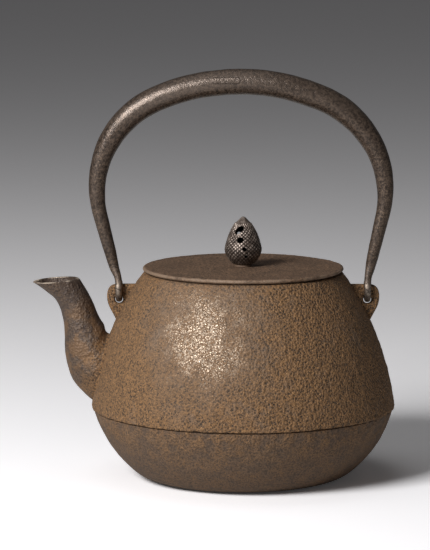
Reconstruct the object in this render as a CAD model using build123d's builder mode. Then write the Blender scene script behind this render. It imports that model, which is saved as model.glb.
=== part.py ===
from build123d import *
import os
from math import atan2, cos, radians, sin, sqrt

# A cast-iron kettle for tea: a ridged hollow body with a spout and two lugs, a forged bail that
# swings in the lugs, a flat lid with a hollow pierced bud for a knob, and a strainer basket that
# hangs in the mouth.  Millimetres.  +Z is up, the origin is the middle of the flat base, and the
# spout points along -X, so the bail's hinge axis runs along X.

# Body casting
ridge_r = 82.0              # widest radius, at the ridge round the middle
ridge_z = 39.0              # height of the ridge
ridge_height = 2.0
ridge_step = 0.9            # how far the ridge stands out over the bowl below it
shoulder_arc = 157.0        # radius of the slightly swollen shoulder
bowl_arc = 66.0             # radius of the bowl below the ridge
bowl_corner_r = 54.5        # where the bowl would meet the base if the corner were sharp
toe_radius = 20.0           # rounding between bowl and base
wall = 3.4
floor_thickness = 4.2

# Mouth
mouth_r = 54.0              # outside of the rim
mouth_z = 111.5             # top of the rim
rim_round = 0.8
lip_thickness = 5.6         # of the flange that runs inwards round the mouth
rim_width = 7.0             # from the outside of the rim to the recess for the basket's flange
ledge_depth = 2.0
ledge_width = 3.0           # from the recess's wall to the clear way through the mouth

# Spout: stations from inside the wall to the mouth, each as
# (out from the ridge, up from the ridge, rise in degrees, half depth, half width)
spout_stations = [
    (-13.0, 17.5, 19.8, 20.7, 16.0),
    (-3.0, 21.5, 18.2, 18.0, 15.0),
    (2.0, 28.3, 29.5, 17.2, 13.5),
    (4.9, 36.0, 41.8, 14.1, 12.0),
    (6.1, 44.3, 56.2, 10.6, 10.6),
    (7.7, 52.0, 66.7, 9.0, 9.8),
    (11.0, 59.3, 76.9, 8.9, 9.6),
    (15.3, 64.1, 80.3, 10.4, 10.1),
    (19.4, 67.9, 85.7, 12.5, 11.0),
]
spout_wall = 2.6
spout_run_out = 1.5         # how far the channel's cutter passes the mouth

# Lugs for the bail
lug_hole_out = 3.66         # from the shoulder's surface to the hole's centre
lug_hole_drop = 15.1        # from the mouth down to the hole's centre
lug_hole_r = 2.5
lug_eye_gap = 1.1           # between the lug's top corners and the eye that swings round them
lug_reach = 6.5             # from the hole to the outer edge
lug_thickness = 4.6
lug_corner_top = 6.2
lug_corner_low = 14.0
lug_low_drop = 1.8          # from the hole down to where the lower edge turns in
lug_foot_in = 6.4           # the lower edge meets the body this far in from the outer edge
lug_foot_drop = 14.0        # and this far below the hole

# Bail
hook_wire_r = 1.3
hook_ring_r = 5.8           # radius of the hook's eye, centred on the hinge axis
hook_set_out = 0.1          # the bail's eyes stand this much wider apart than the holes
hook_turn = 320.0           # how far the wire goes round the eye
hook_neck = (3.0, 2.0)      # height above the eye and radius, where the leg narrows to the wire
leg_foot_in = 0.9           # the leg's line crosses the hinge axis this far inside the eye
leg_splay = 13.8            # degrees that the legs lean outwards
side_arc = 54.5             # radius of the bail's sides
crown_arc = 113.0           # radius of the grip
bail_rise = 112.2           # from the hinge axis to the centre of the grip at its top
lean_at_hooks = -0.4        # the old bail stands a little towards the spout
lean_at_crown = -2.0
# (distance along the leg from the hinge axis, radius of the round section)
leg_taper = [(12, 2.55), (20, 3.0), (34, 3.65), (52, 4.3), (72, 5.3), (90, 6.2), (112, 6.85), (140, 7.0)]
section_step = 9.0          # distance between the lofted sections

# Lid
lid_overhang = 0.3          # how far the lid stands out over the mouth's rim
lid_thickness = 2.5
lid_seat_in = 2.5           # from the mouth's outside to the raised seat below the disc
lid_seat_height = 0.4
lid_edge_round = 1.0
skirt_play = 1.1            # between the lid's skirt and the basket's wall
skirt_wall = 2.4
skirt_depth = 8.0

# Knob and what holds it
knob_r = 9.8                # widest radius of the bud
knob_waist = 8.4            # height of the widest place above the knob's foot
knob_height = 25.8
knob_foot_r = 5.4
knob_wall = 1.5
knob_floor = 2.2
knob_tip_r = 0.7            # small flat at the very tip
collar_r = 4.9
collar_height = 1.2
rivet_r = 2.0
rivet_play = 0.1
rivet_head_r = 3.4
rivet_head = 1.3
washer_r = 7.0
washer_thickness = 1.0
# Pierced openings in the bud: (degrees from the front towards the spout, height above the
# knob's foot, length, width, slant in degrees)
knob_piercings = [
    (20.0, 19.2, 5.0, 2.2, 45.0),
    (11.0, 14.0, 3.4, 2.8, 10.0),
    (-4.0, 9.0, 2.8, 2.3, -30.0),
    (168.0, 15.0, 4.4, 2.2, 40.0),
    (190.0, 9.0, 3.2, 2.2, -25.0),
]

# Strainer basket
basket_sheet = 0.6
basket_depth = 43.0         # from the ledge to the basket's floor
basket_play = 0.8           # between the basket's bands and the mouth's bore
flange_play = 0.4
flange_thickness = 1.0
band_sheet = 0.8
band_height = 5.0
band_lip = 4.6              # inward lip that carries the floor
hole_r = 1.2
wall_hole_count = 20
wall_hole_rows = 5
floor_hole_pitch = 8.0
floor_hole_margin = 4.0     # of plain sheet round the floor's edge


def bulge(offset, rise):
    """Radius of the arc that starts upright and ends `offset` in and `rise` away."""
    return (offset ** 2 + rise ** 2) / (2 * offset)


def shoulder_radius(z):
    """Radius of the shoulder's surface at one height."""
    low = Vector(ridge_r, ridge_z + ridge_height / 2)
    high = Vector(mouth_r, mouth_z)
    chord = high - low
    inward = Vector(-chord.Y, chord.X) / chord.length
    centre = (low + high) / 2 + inward * sqrt(shoulder_arc ** 2 - (chord.length / 2) ** 2)
    return centre.X + sqrt(shoulder_arc ** 2 - (z - centre.Y) ** 2)


def ring_profile(r_in, r_out, z_low, z_high):
    """Rectangle beside the axis, to be revolved into a ring."""
    with Locations(((r_in + r_out) / 2, (z_low + z_high) / 2)):
        Rectangle(r_out - r_in, z_high - z_low)


def bud_profile(r, waist_z, foot_r, foot_z, tip_z):
    """Half outline of the bud: one arc up from the foot to the waist, one from there to the tip."""
    with BuildLine() as outline:
        Line((0, foot_z), (foot_r, foot_z))
        RadiusArc((foot_r, foot_z), (r, waist_z), -bulge(r - foot_r, waist_z - foot_z))
        RadiusArc((r, waist_z), (knob_tip_r, tip_z), -bulge(r - knob_tip_r, tip_z - waist_z))
        Line((knob_tip_r, tip_z), (0, tip_z))
        Line((0, tip_z), (0, foot_z))
    make_face(outline.edges())


def spout_plane(out, up, rise, along=0.0):
    """Plane square to the spout at one station, moved on `along` the spout."""
    turn = radians(rise)
    direction = Vector(-cos(turn), 0, sin(turn))
    centre = Vector(-(ridge_r + out), 0, ridge_z + up) + direction * along
    return Plane(origin=centre, x_dir=(sin(turn), 0, cos(turn)), z_dir=direction)


def spout_section(half_depth, half_width):
    """Oval section of the spout: a circle drawn out along its depth."""
    Circle(half_width)
    scale(by=(half_depth / half_width, 1, 1))


# Places that follow from the sizes above
ledge_r = mouth_r - rim_width
bore_r = ledge_r - ledge_width
lug_hole_z = mouth_z - lug_hole_drop
lug_hole_x = shoulder_radius(lug_hole_z) + lug_hole_out
hinge_z = lug_hole_z + hook_ring_r
lug_top_z = hinge_z + sqrt((hook_ring_r - hook_wire_r - lug_eye_gap) ** 2 - (lug_thickness / 2) ** 2)
hook_x = lug_hole_x + hook_set_out
leg_foot_x = hook_x - leg_foot_in
crown_z = hinge_z + bail_rise
lid_r = mouth_r + lid_overhang
lid_seat_r = mouth_r - lid_seat_in

# Body: outer form, spout and lugs first, then the water space and the spout's channel
lip_z = mouth_z - lip_thickness
under_ridge_z = ridge_z - ridge_height
with BuildPart() as kettle_body:
    with BuildSketch(Plane.XZ):
        with BuildLine():
            Line((0, 0), (bowl_corner_r, 0))
            RadiusArc((bowl_corner_r, 0), (ridge_r - ridge_step, under_ridge_z), -bowl_arc)
            Line((ridge_r - ridge_step, under_ridge_z), (ridge_r, ridge_z - ridge_height / 2))
            Line((ridge_r, ridge_z - ridge_height / 2), (ridge_r, ridge_z + ridge_height / 2))
            RadiusArc((ridge_r, ridge_z + ridge_height / 2), (mouth_r, mouth_z), -shoulder_arc)
            Line((mouth_r, mouth_z), (0, mouth_z))
            Line((0, mouth_z), (0, 0))
        outline = make_face()
        fillet(outline.vertices().group_by(Axis.Y)[0].sort_by(Axis.X)[-1], toe_radius)
        fillet(vertices().group_by(Axis.Y)[-1].sort_by(Axis.X)[-1], rim_round)
    revolve(axis=Axis.Z)

    for out, up, rise, half_depth, half_width in spout_stations:
        with BuildSketch(spout_plane(out, up, rise)):
            spout_section(half_depth, half_width)
    loft()

    with BuildSketch(Plane.XZ):
        outer_x = lug_hole_x + lug_reach
        root_x = mouth_r - wall
        foot_z = lug_hole_z - lug_foot_drop
        with BuildLine():
            Polyline(
                (root_x, lug_top_z),
                (outer_x, lug_top_z),
                (outer_x, lug_hole_z - lug_low_drop),
                (outer_x - lug_foot_in, foot_z),
                (root_x, foot_z),
                close=True,
            )
        lug_outline = make_face()
        fillet(lug_outline.vertices().group_by(Axis.Y)[-1].sort_by(Axis.X)[-1], lug_corner_top)
        low_corner = Vector(outer_x, lug_hole_z - lug_low_drop)
        fillet(vertices().sort_by_distance(low_corner)[0], lug_corner_low)
    lug = extrude(amount=lug_thickness / 2, both=True)
    mirror(lug, about=Plane.YZ)

    # Water space, following the outside one wall thickness in
    with BuildSketch(Plane.XZ):
        inner_ridge = (ridge_r - ridge_step - wall, ridge_z)
        inner_neck = (mouth_r + lip_thickness * (ridge_r - mouth_r) / (mouth_z - ridge_z) - wall, lip_z)
        inner_corner = (bowl_corner_r - wall, floor_thickness)
        with BuildLine():
            Line((0, floor_thickness), inner_corner)
            RadiusArc(inner_corner, inner_ridge, -(bowl_arc - wall))
            RadiusArc(inner_ridge, inner_neck, -(shoulder_arc - wall))
            Line(inner_neck, (bore_r, lip_z))
            Line((bore_r, lip_z), (bore_r, mouth_z - ledge_depth))
            Line((bore_r, mouth_z - ledge_depth), (ledge_r, mouth_z - ledge_depth))
            Line((ledge_r, mouth_z - ledge_depth), (ledge_r, mouth_z))
            Line((ledge_r, mouth_z), (0, mouth_z))
            Line((0, mouth_z), (0, floor_thickness))
        inside = make_face()
        fillet(inside.vertices().group_by(Axis.Y)[0].sort_by(Axis.X)[-1], toe_radius - wall)
    revolve(axis=Axis.Z, mode=Mode.SUBTRACT)

    # Channel through the spout
    for out, up, rise, half_depth, half_width in spout_stations:
        with BuildSketch(spout_plane(out, up, rise)):
            spout_section(half_depth - spout_wall, half_width - spout_wall)
    out, up, rise, half_depth, half_width = spout_stations[-1]
    with BuildSketch(spout_plane(out, up, rise, spout_run_out)):
        spout_section(half_depth - spout_wall, half_width - spout_wall)
    loft(mode=Mode.SUBTRACT)

    # Eyes in the lugs
    with BuildSketch(Plane.XZ):
        with Locations((lug_hole_x, lug_hole_z), (-lug_hole_x, lug_hole_z)):
            Circle(lug_hole_r)
    extrude(amount=lug_thickness, both=True, mode=Mode.SUBTRACT)

# Bail: two straight legs, two side arcs and the grip's arc, all tangent, as one half path
splay = radians(leg_splay)
leg_direction = (sin(splay), cos(splay))
inward = (-cos(splay), sin(splay))
start = (leg_foot_x + side_arc * inward[0], hinge_z + side_arc * inward[1] - (crown_z - crown_arc))
half_b = start[0] * leg_direction[0] + start[1] * leg_direction[1]
leg_length = sqrt(half_b ** 2 - start[0] ** 2 - start[1] ** 2 + (crown_arc - side_arc) ** 2) - half_b
side_centre = (
    start[0] + leg_length * leg_direction[0],
    start[1] + leg_length * leg_direction[1] + crown_z - crown_arc,
)
side_end = atan2(side_centre[1] - (crown_z - crown_arc), side_centre[0])
side_turn = side_end + splay
crown_turn = radians(90) - side_end
half_length = leg_length + side_arc * side_turn + crown_arc * crown_turn


def bail_point(distance):
    """Place and direction (x, z, dx, dz) on the right half path, measured from the hinge axis."""
    if distance <= leg_length:
        x = leg_foot_x + distance * leg_direction[0]
        z = hinge_z + distance * leg_direction[1]
        return x, z, leg_direction[0], leg_direction[1]
    on_side = (distance - leg_length) / side_arc
    if on_side <= side_turn:
        angle = on_side - splay
        centre, radius = side_centre, side_arc
    else:
        angle = side_end + (distance - leg_length - side_arc * side_turn) / crown_arc
        centre, radius = (0, crown_z - crown_arc), crown_arc
    x = centre[0] + radius * cos(angle)
    z = centre[1] + radius * sin(angle)
    return x, z, -sin(angle), cos(angle)


def bail_radius(distance):
    """Radius of the round section, straight between the named stations."""
    for (near, r_near), (far, r_far) in zip(leg_taper, leg_taper[1:]):
        if distance <= far:
            share = max(0, (distance - near) / (far - near))
            return r_near + share * (r_far - r_near)
    return leg_taper[-1][1]


def lean(z):
    """Sideways set of the bail towards the spout at one height."""
    return lean_at_hooks + (lean_at_crown - lean_at_hooks) * (z - hinge_z) / (crown_z - hinge_z)


eye_top_z = hinge_z + hook_ring_r
first = leg_taper[0][0]
steps = round((half_length - first) / section_step)
distances = [first + i * (half_length - first) / steps for i in range(steps + 1)]
neck_height, neck_r = hook_neck
half_sections = [
    (hook_x, eye_top_z, *leg_direction, 0.9 * hook_wire_r),
    (hook_x + neck_height * leg_direction[0], eye_top_z + neck_height, *leg_direction, neck_r),
]
half_sections += [(*bail_point(d), bail_radius(d)) for d in distances]
sections = [(-x, z, dx, -dz, r) for x, z, dx, dz, r in half_sections]
sections += [(x, z, dx, dz, r) for x, z, dx, dz, r in reversed(half_sections[:-1])]
with BuildPart() as bail:
    for x, z, dx, dz, r in sections:
        with BuildSketch(Plane(origin=(x + lean(z), 0, z), x_dir=(0, 1, 0), z_dir=(dx, 0, dz))):
            Circle(r)
    loft()
    for side in (-1, 1):
        eye_x = side * hook_x + lean(eye_top_z)
        with BuildSketch(Plane.XZ):
            with Locations((eye_x, eye_top_z)):
                Circle(hook_wire_r)
        revolve(axis=Axis((0, 0, hinge_z), (1, 0, 0)), revolution_arc=hook_turn)

# Strainer basket
ledge_z = mouth_z - ledge_depth
wall_out = bore_r - basket_play - band_sheet
wall_in = wall_out - basket_sheet
basket_floor_z = ledge_z - basket_depth
with BuildPart() as infuser_rim:
    with BuildSketch(Plane.XZ):
        ring_profile(wall_in, ledge_r - flange_play, ledge_z, ledge_z + flange_thickness)
        ring_profile(wall_out, wall_out + band_sheet, ledge_z - band_height, ledge_z)
    revolve(axis=Axis.Z)

with BuildPart() as infuser_wall:
    with BuildSketch(Plane.XZ):
        ring_profile(wall_in, wall_out, basket_floor_z + basket_sheet, ledge_z)
    revolve(axis=Axis.Z)
    low_row = basket_floor_z + 2 * band_height
    high_row = ledge_z - 2 * band_height
    for row in range(wall_hole_rows):
        row_z = low_row + row * (high_row - low_row) / (wall_hole_rows - 1)
        with PolarLocations(0, wall_hole_count, start_angle=row * 180 / wall_hole_count):
            with Locations((wall_out, 0, row_z)):
                Cylinder(hole_r, 4 * basket_sheet, rotation=(0, 90, 0), mode=Mode.SUBTRACT)

with BuildPart() as infuser_band:
    with BuildSketch(Plane.XZ):
        ring_profile(
            wall_out - band_lip, wall_out + band_sheet, basket_floor_z - band_sheet, basket_floor_z
        )
        ring_profile(wall_out, wall_out + band_sheet, basket_floor_z, basket_floor_z + band_height)
    revolve(axis=Axis.Z)

with BuildPart() as infuser_floor:
    with BuildSketch(Plane.XY.offset(basket_floor_z)):
        Circle(wall_out)
        reach = wall_out - band_lip - floor_hole_margin
        rows = int(reach // floor_hole_pitch)
        for row in range(-rows, rows + 1):
            y = row * floor_hole_pitch
            holes = int(sqrt(reach ** 2 - y ** 2) // floor_hole_pitch)
            with Locations(*[(i * floor_hole_pitch, y) for i in range(-holes, holes + 1)]):
                Circle(hole_r, mode=Mode.SUBTRACT)
    extrude(amount=basket_sheet)

# Lid, with the knob's rivet through it
lid_low = mouth_z + lid_seat_height
lid_top = lid_low + lid_thickness
skirt_out = wall_in - skirt_play
rivet_hole_r = rivet_r + rivet_play
with BuildPart() as lid:
    with BuildSketch(Plane.XZ):
        ring_profile(rivet_hole_r, lid_r, lid_low, lid_top)
        ring_profile(rivet_hole_r, lid_seat_r, mouth_z, lid_low)
        ring_profile(skirt_out - skirt_wall, skirt_out, mouth_z - skirt_depth, mouth_z)
    revolve(axis=Axis.Z)
    lid_edge = lid.edges().filter_by(GeomType.CIRCLE).filter_by(lambda e: e.radius > lid_r - 0.01)
    fillet(lid_edge, lid_edge_round)

collar_z = lid_top + collar_height
with BuildPart() as knob_collar:
    with BuildSketch(Plane.XZ):
        ring_profile(rivet_hole_r, collar_r, lid_top, collar_z)
    revolve(axis=Axis.Z)
    fillet(knob_collar.edges().sort_by(Axis.Z)[-2:].sort_by(SortBy.RADIUS)[-1], collar_height / 2)

with BuildPart() as lid_knob:
    with BuildSketch(Plane.XZ):
        bud_profile(knob_r, collar_z + knob_waist, knob_foot_r, collar_z, collar_z + knob_height)
    revolve(axis=Axis.Z)
    with BuildSketch(Plane.XZ):
        bud_profile(
            knob_r - knob_wall,
            collar_z + knob_waist,
            knob_foot_r - knob_wall,
            collar_z + knob_floor,
            collar_z + knob_height - 2 * knob_wall,
        )
    revolve(axis=Axis.Z, mode=Mode.SUBTRACT)
    with Locations((0, 0, collar_z)):
        Cylinder(rivet_hole_r, 2 * knob_floor + 1, mode=Mode.SUBTRACT)
    for azimuth, height, length, width, slant in knob_piercings:
        turn = radians(azimuth)
        facing = Vector(-sin(turn), -cos(turn), 0)
        across = Vector(cos(turn), -sin(turn), 0)
        plane = Plane(origin=(0, 0, collar_z + height), x_dir=across, z_dir=facing)
        with BuildSketch(plane.offset(1)):
            SlotOverall(length, width, rotation=slant)
        extrude(amount=knob_r, mode=Mode.SUBTRACT)

washer_z = mouth_z - washer_thickness
with BuildPart() as lid_washer:
    with BuildSketch(Plane.XZ):
        ring_profile(rivet_hole_r, washer_r, washer_z, mouth_z)
    revolve(axis=Axis.Z)

with BuildPart() as knob_rivet:
    inner_floor_z = collar_z + knob_floor
    with BuildSketch(Plane.XZ):
        ring_profile(0, rivet_r, washer_z, inner_floor_z)
        ring_profile(0, rivet_head_r, washer_z - rivet_head, washer_z)
        ring_profile(0, rivet_head_r, inner_floor_z, inner_floor_z + rivet_head)
    revolve(axis=Axis.Z)
    ends = knob_rivet.edges().filter_by(GeomType.CIRCLE).sort_by(Axis.Z)
    fillet([ends[0], ends[-1]], rivet_head / 2)

print(f"hinge axis z {hinge_z:.2f}, bail half length {half_length:.2f}, leg {leg_length:.2f}")
pieces = {
    "kettle_body": kettle_body,
    "bail": bail,
    "lid": lid,
    "knob_collar": knob_collar,
    "lid_knob": lid_knob,
    "knob_rivet": knob_rivet,
    "lid_washer": lid_washer,
    "infuser_rim": infuser_rim,
    "infuser_wall": infuser_wall,
    "infuser_band": infuser_band,
    "infuser_floor": infuser_floor,
}
os.makedirs("parts", exist_ok=True)
for name, piece in pieces.items():
    piece.part.label = name
    export_step(piece.part, f"parts/{name}.step")
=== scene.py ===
"""A cast-iron tea kettle with a strainer basket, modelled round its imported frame.

The classes hold their sizes in millimetres and their angles in degrees, and meshes are made in
metres.  The spout points along -X, +Z is up, and the base stands on z = 0.
"""
import logging
from dataclasses import dataclass
from enum import Enum
from math import atan2, ceil, cos, pi, radians, sin, sqrt, tan, tau
from typing import Callable, Optional, Sequence

import bmesh
import bpy
from mathutils import Euler, Matrix, Vector


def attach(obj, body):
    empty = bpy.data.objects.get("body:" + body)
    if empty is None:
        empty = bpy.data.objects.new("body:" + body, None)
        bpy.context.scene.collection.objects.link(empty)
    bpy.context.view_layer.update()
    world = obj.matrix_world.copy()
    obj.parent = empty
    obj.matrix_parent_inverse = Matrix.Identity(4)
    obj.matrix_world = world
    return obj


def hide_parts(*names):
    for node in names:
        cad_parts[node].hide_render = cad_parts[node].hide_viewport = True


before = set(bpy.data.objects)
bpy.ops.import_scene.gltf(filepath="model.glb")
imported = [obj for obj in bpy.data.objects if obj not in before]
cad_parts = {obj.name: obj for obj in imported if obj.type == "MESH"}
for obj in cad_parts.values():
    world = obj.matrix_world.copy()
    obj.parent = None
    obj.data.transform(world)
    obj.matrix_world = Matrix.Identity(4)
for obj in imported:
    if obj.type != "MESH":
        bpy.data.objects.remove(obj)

MM = 0.001
log = logging.getLogger("kettle")

Pair = tuple[float, float]
Triple = tuple[float, float, float]
Row = tuple[float, ...]
Outline = list[Pair]
Colour = Triple
Rule = Callable[[Vector], bool]
Weight = Callable[[Vector], float]
Socket = bpy.types.NodeSocket

ORIGIN: Triple = (0.0, 0.0, 0.0)
FLAT: Triple = (1.0, 1.0, 0.0)


class Body(Enum):
    """The bodies that pieces ride on."""

    KETTLE = "kettle"
    BASKET = "basket"
    COVER = "cover"
    HANDLE = "handle"


class Joining(Enum):
    """How two closed solids are combined."""

    ADD = "UNION"
    CUT = "DIFFERENCE"
    KEEP_COMMON = "INTERSECT"


class Texture(Enum):
    """The kinds of unevenness that a surface is worked with."""

    SOFT = "CLOUDS"
    PEBBLED = "VORONOI"


# ---------------------------------------------------------------- drawing helpers


def arc_centre(start: Pair, end: Pair, radius: float) -> Vector:
    """Find the centre of an arc that turns left.

    Args:
        start: where the arc starts.
        end: where it ends.
        radius: its radius.

    Returns:
        The centre.
    """
    chord = Vector(end) - Vector(start)
    left = Vector((-chord.y, chord.x)).normalized()
    return Vector(start) + chord / 2 + left * sqrt(radius ** 2 - chord.length_squared / 4)


def arc(start: Pair, end: Pair, radius: float, step: float) -> Outline:
    """Walk along an arc whose centre lies to the left of the way.

    Args:
        start: where the arc starts, which isn't repeated in the result.
        end: where it ends.
        radius: its radius.
        step: the longest distance between two points.

    Returns:
        The points after the start, up to and with the end.
    """
    centre = arc_centre(start, end, radius)
    first = atan2(start[1] - centre.y, start[0] - centre.x)
    last = atan2(end[1] - centre.y, end[0] - centre.x)
    if last < first:
        last += tau
    count = max(2, ceil((last - first) * radius / step))
    angles = [first + (last - first) * i / count for i in range(1, count + 1)]
    return [(centre.x + radius * cos(a), centre.y + radius * sin(a)) for a in angles]


def straight(start: Pair, end: Pair, step: float) -> Outline:
    """Walk along a straight line.

    Args:
        start: where the line starts, which isn't repeated in the result.
        end: where it ends.
        step: the longest distance between two points.

    Returns:
        The points after the start, up to and with the end.
    """
    way = Vector(end) - Vector(start)
    count = max(1, ceil(way.length / step))
    return [tuple(Vector(start) + way * i / count) for i in range(1, count + 1)]


def rounded(corners: Sequence[Triple], steps: int = 4) -> Outline:
    """Round the corners of a closed outline.

    Args:
        corners: (x, y, radius of the rounding) in order.
        steps: how many short sides each rounding gets.

    Returns:
        The outline's points, with the first not repeated.
    """
    points: Outline = []
    for i, (x, y, radius) in enumerate(corners):
        here = Vector((x, y))
        back = Vector(corners[i - 1][:2]) - here
        ahead = Vector(corners[(i + 1) % len(corners)][:2]) - here
        if radius <= 0:
            points.append((x, y))
            continue
        reach = radius / tan(back.angle(ahead) / 2)
        first = here + back.normalized() * reach
        last = here + ahead.normalized() * reach
        for k in range(steps + 1):
            t = k / steps
            points.append(tuple(first * (1 - t) ** 2 + here * 2 * t * (1 - t) + last * t ** 2))
    return points


def smooth_value(stations: Sequence[Sequence[float]], at: float) -> list[float]:
    """Read a smooth curve through stations.

    Args:
        stations: rows of numbers, of which the first is the place along the curve.
        at: the place to read.

    Returns:
        The other numbers of a row at that place.
    """
    last = len(stations) - 1
    i = max(0, min(last - 1, sum(1 for s in stations if s[0] <= at) - 1))
    before, low = stations[max(0, i - 1)], stations[i]
    high, after = stations[i + 1], stations[min(last, i + 2)]
    span = high[0] - low[0]
    t = max(0.0, min(1.0, (at - low[0]) / span))
    row = []
    for k in range(1, len(low)):
        m0 = (high[k] - before[k]) / (high[0] - before[0]) * span
        m1 = (after[k] - low[k]) / (after[0] - low[0]) * span
        row.append(
            (2 * t ** 3 - 3 * t ** 2 + 1) * low[k]
            + (t ** 3 - 2 * t ** 2 + t) * m0
            + (-2 * t ** 3 + 3 * t ** 2) * high[k]
            + (t ** 3 - t ** 2) * m1
        )
    return row


def fade(value: float, start: float, end: float) -> float:
    """Go smoothly from 0 at the start to 1 at the end."""
    t = max(0.0, min(1.0, (value - start) / (end - start)))
    return t * t * (3 - 2 * t)


@dataclass(frozen=True)
class Ring:
    """An oval section of a swept piece, in millimetres."""

    centre: Triple
    turn: Triple
    half_x: float
    half_y: float


@dataclass(frozen=True)
class Unevenness:
    """One layer of unevenness: the size of its marks, their height and their kind."""

    size: float
    height: float
    kind: Texture = Texture.SOFT


class Bench:
    """The steps by hand that all pieces share."""

    @staticmethod
    def clear() -> None:
        """Leave edit mode and deselect everything."""
        if bpy.context.object and bpy.context.object.mode != "OBJECT":
            bpy.ops.object.mode_set(mode="OBJECT")
        bpy.ops.object.select_all(action="DESELECT")

    @staticmethod
    def focus(obj: bpy.types.Object) -> None:
        """Make one object the only selected one, and the active one."""
        Bench.clear()
        obj.select_set(True)
        bpy.context.view_layer.objects.active = obj

    @staticmethod
    def begin(name: str) -> bpy.types.Object:
        """Add a small plane, merge it into one vertex, and stay in edit mode.

        Args:
            name: the new piece's name.

        Returns:
            The new object, with one selected vertex at the origin.
        """
        Bench.clear()
        bpy.ops.mesh.primitive_plane_add(size=MM)
        obj = Bench.take_up(name)
        bpy.ops.mesh.merge(type="CENTER")
        return obj

    @staticmethod
    def take_up(name: str, kind: str = "VERT") -> bpy.types.Object:
        """Name the piece that was just added, and select all of it in edit mode.

        Args:
            name: the piece's name.
            kind: what edit mode selects.

        Returns:
            The piece.
        """
        obj = bpy.context.object
        obj.name = obj.data.name = name
        bpy.ops.object.mode_set(mode="EDIT")
        bpy.ops.mesh.select_mode(type=kind)
        bpy.ops.mesh.select_all(action="SELECT")
        return obj

    @staticmethod
    def draw(points: Sequence[Sequence[float]]) -> None:
        """Move the selected vertex to the first point and extrude it along the others.

        Args:
            points: the line's points, in millimetres.
        """
        here = Vector((0, 0, 0))
        for i, point in enumerate(points):
            step = (Vector(point) - here) * MM
            if i == 0:
                bpy.ops.transform.translate(value=step)
            else:
                bpy.ops.mesh.extrude_region_move(TRANSFORM_OT_translate={"value": step})
            here = Vector(point)

    @staticmethod
    def weld() -> None:
        """Merge doubles and turn all faces outwards, in edit mode, and leave it."""
        bpy.ops.mesh.select_mode(type="VERT")
        bpy.ops.mesh.select_all(action="SELECT")
        bpy.ops.mesh.remove_doubles(threshold=0.002 * MM)
        bpy.ops.mesh.normals_make_consistent(inside=False)
        bpy.ops.object.mode_set(mode="OBJECT")

    @staticmethod
    def lathe(name: str, outline: Outline, steps: int, closed: bool = False) -> bpy.types.Object:
        """Spin an outline round the Z axis.

        Args:
            name: the new piece's name.
            outline: (radius, height) points.
            steps: how many sides the turned piece has.
            closed: whether the outline returns to its first point.

        Returns:
            The turned piece.
        """
        obj = Bench.begin(name)
        points = outline + outline[:1] if closed else outline
        Bench.draw([(r, 0, z) for r, z in points])
        bpy.ops.mesh.select_all(action="SELECT")
        bpy.ops.mesh.spin(steps=steps, angle=tau, center=(0, 0, 0), axis=(0, 0, 1))
        Bench.weld()
        return obj

    @staticmethod
    def turned(name: str, corners: Sequence[Triple], steps: int) -> bpy.types.Object:
        """Turn a closed outline with rounded corners, and shade it smoothly.

        Args:
            name: the new piece's name.
            corners: (radius, height, radius of the rounding) in order.
            steps: how many sides the turned piece has.

        Returns:
            The turned piece.
        """
        obj = Bench.lathe(name, rounded(corners), steps, closed=True)
        Bench.smooth(obj)
        return obj

    @staticmethod
    def rod(name: str, radius: float, low: float, high: float, steps: int) -> bpy.types.Object:
        """Turn a plain upright rod.

        Args:
            name: the new piece's name.
            radius: its radius.
            low: height of its lower end.
            high: height of its upper end.
            steps: how many sides it has.

        Returns:
            The rod.
        """
        outline = [(0.0, low), (radius, low), (radius, high), (0.0, high)]
        return Bench.lathe(name, outline, steps)

    @staticmethod
    def sweep(name: str, rings: Sequence[Ring], sides: int) -> bpy.types.Object:
        """Bridge a row of oval rings into a closed tube.

        Args:
            name: the new piece's name.
            rings: the sections in order.
            sides: how many corners each section has.

        Returns:
            The tube, closed at both ends.
        """
        obj = Bench.begin(name)
        bpy.ops.mesh.delete(type="VERT")
        for ring in rings:
            Bench.add_ring(ring, sides)
        for i in range(len(rings) - 1):
            Bench.pick_numbers(range(i * sides, (i + 2) * sides))
            bpy.ops.mesh.bridge_edge_loops()
        for start in (0, (len(rings) - 1) * sides):
            Bench.pick_numbers(range(start, start + sides))
            bpy.ops.mesh.edge_face_add()
        Bench.weld()
        return obj

    @staticmethod
    def add_ring(ring: Ring, sides: int) -> None:
        """Add an oval ring to the piece that is in edit mode.

        Args:
            ring: the section.
            sides: how many corners it has.
        """
        centre = Vector(ring.centre) * MM
        axes = [tuple(axis) for axis in Euler(ring.turn).to_matrix().transposed()]
        bpy.ops.mesh.primitive_circle_add(
            vertices=sides, radius=ring.half_x * MM, location=centre, rotation=ring.turn
        )
        if ring.half_x != ring.half_y:
            bpy.ops.transform.resize(
                value=(1, ring.half_y / ring.half_x, 1),
                orient_type="LOCAL",
                orient_matrix=axes,
                orient_matrix_type="LOCAL",
                center_override=centre,
            )

    @staticmethod
    def slab(name: str, outline: Outline, half: float) -> bpy.types.Object:
        """Fill an outline that is drawn on the XZ plane and give it a thickness along Y.

        Args:
            name: the new piece's name.
            outline: (x, z) points.
            half: half the thickness.

        Returns:
            The slab.
        """
        obj = Bench.begin(name)
        Bench.draw([(x, -half, z) for x, z in outline])
        bpy.ops.mesh.select_all(action="SELECT")
        bpy.ops.mesh.edge_face_add()
        bpy.ops.mesh.extrude_region_move(TRANSFORM_OT_translate={"value": (0, 2 * half * MM, 0)})
        Bench.weld()
        return obj

    @staticmethod
    def pick_numbers(numbers: range) -> None:
        """Select vertices in edit mode.

        Args:
            numbers: the vertices' numbers.
        """
        bpy.ops.mesh.select_all(action="DESELECT")
        mesh = bpy.context.object.data
        work = bmesh.from_edit_mesh(mesh)
        work.verts.ensure_lookup_table()
        for number in numbers:
            work.verts[number].select_set(True)
        work.select_flush(True)
        bmesh.update_edit_mesh(mesh)

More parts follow.
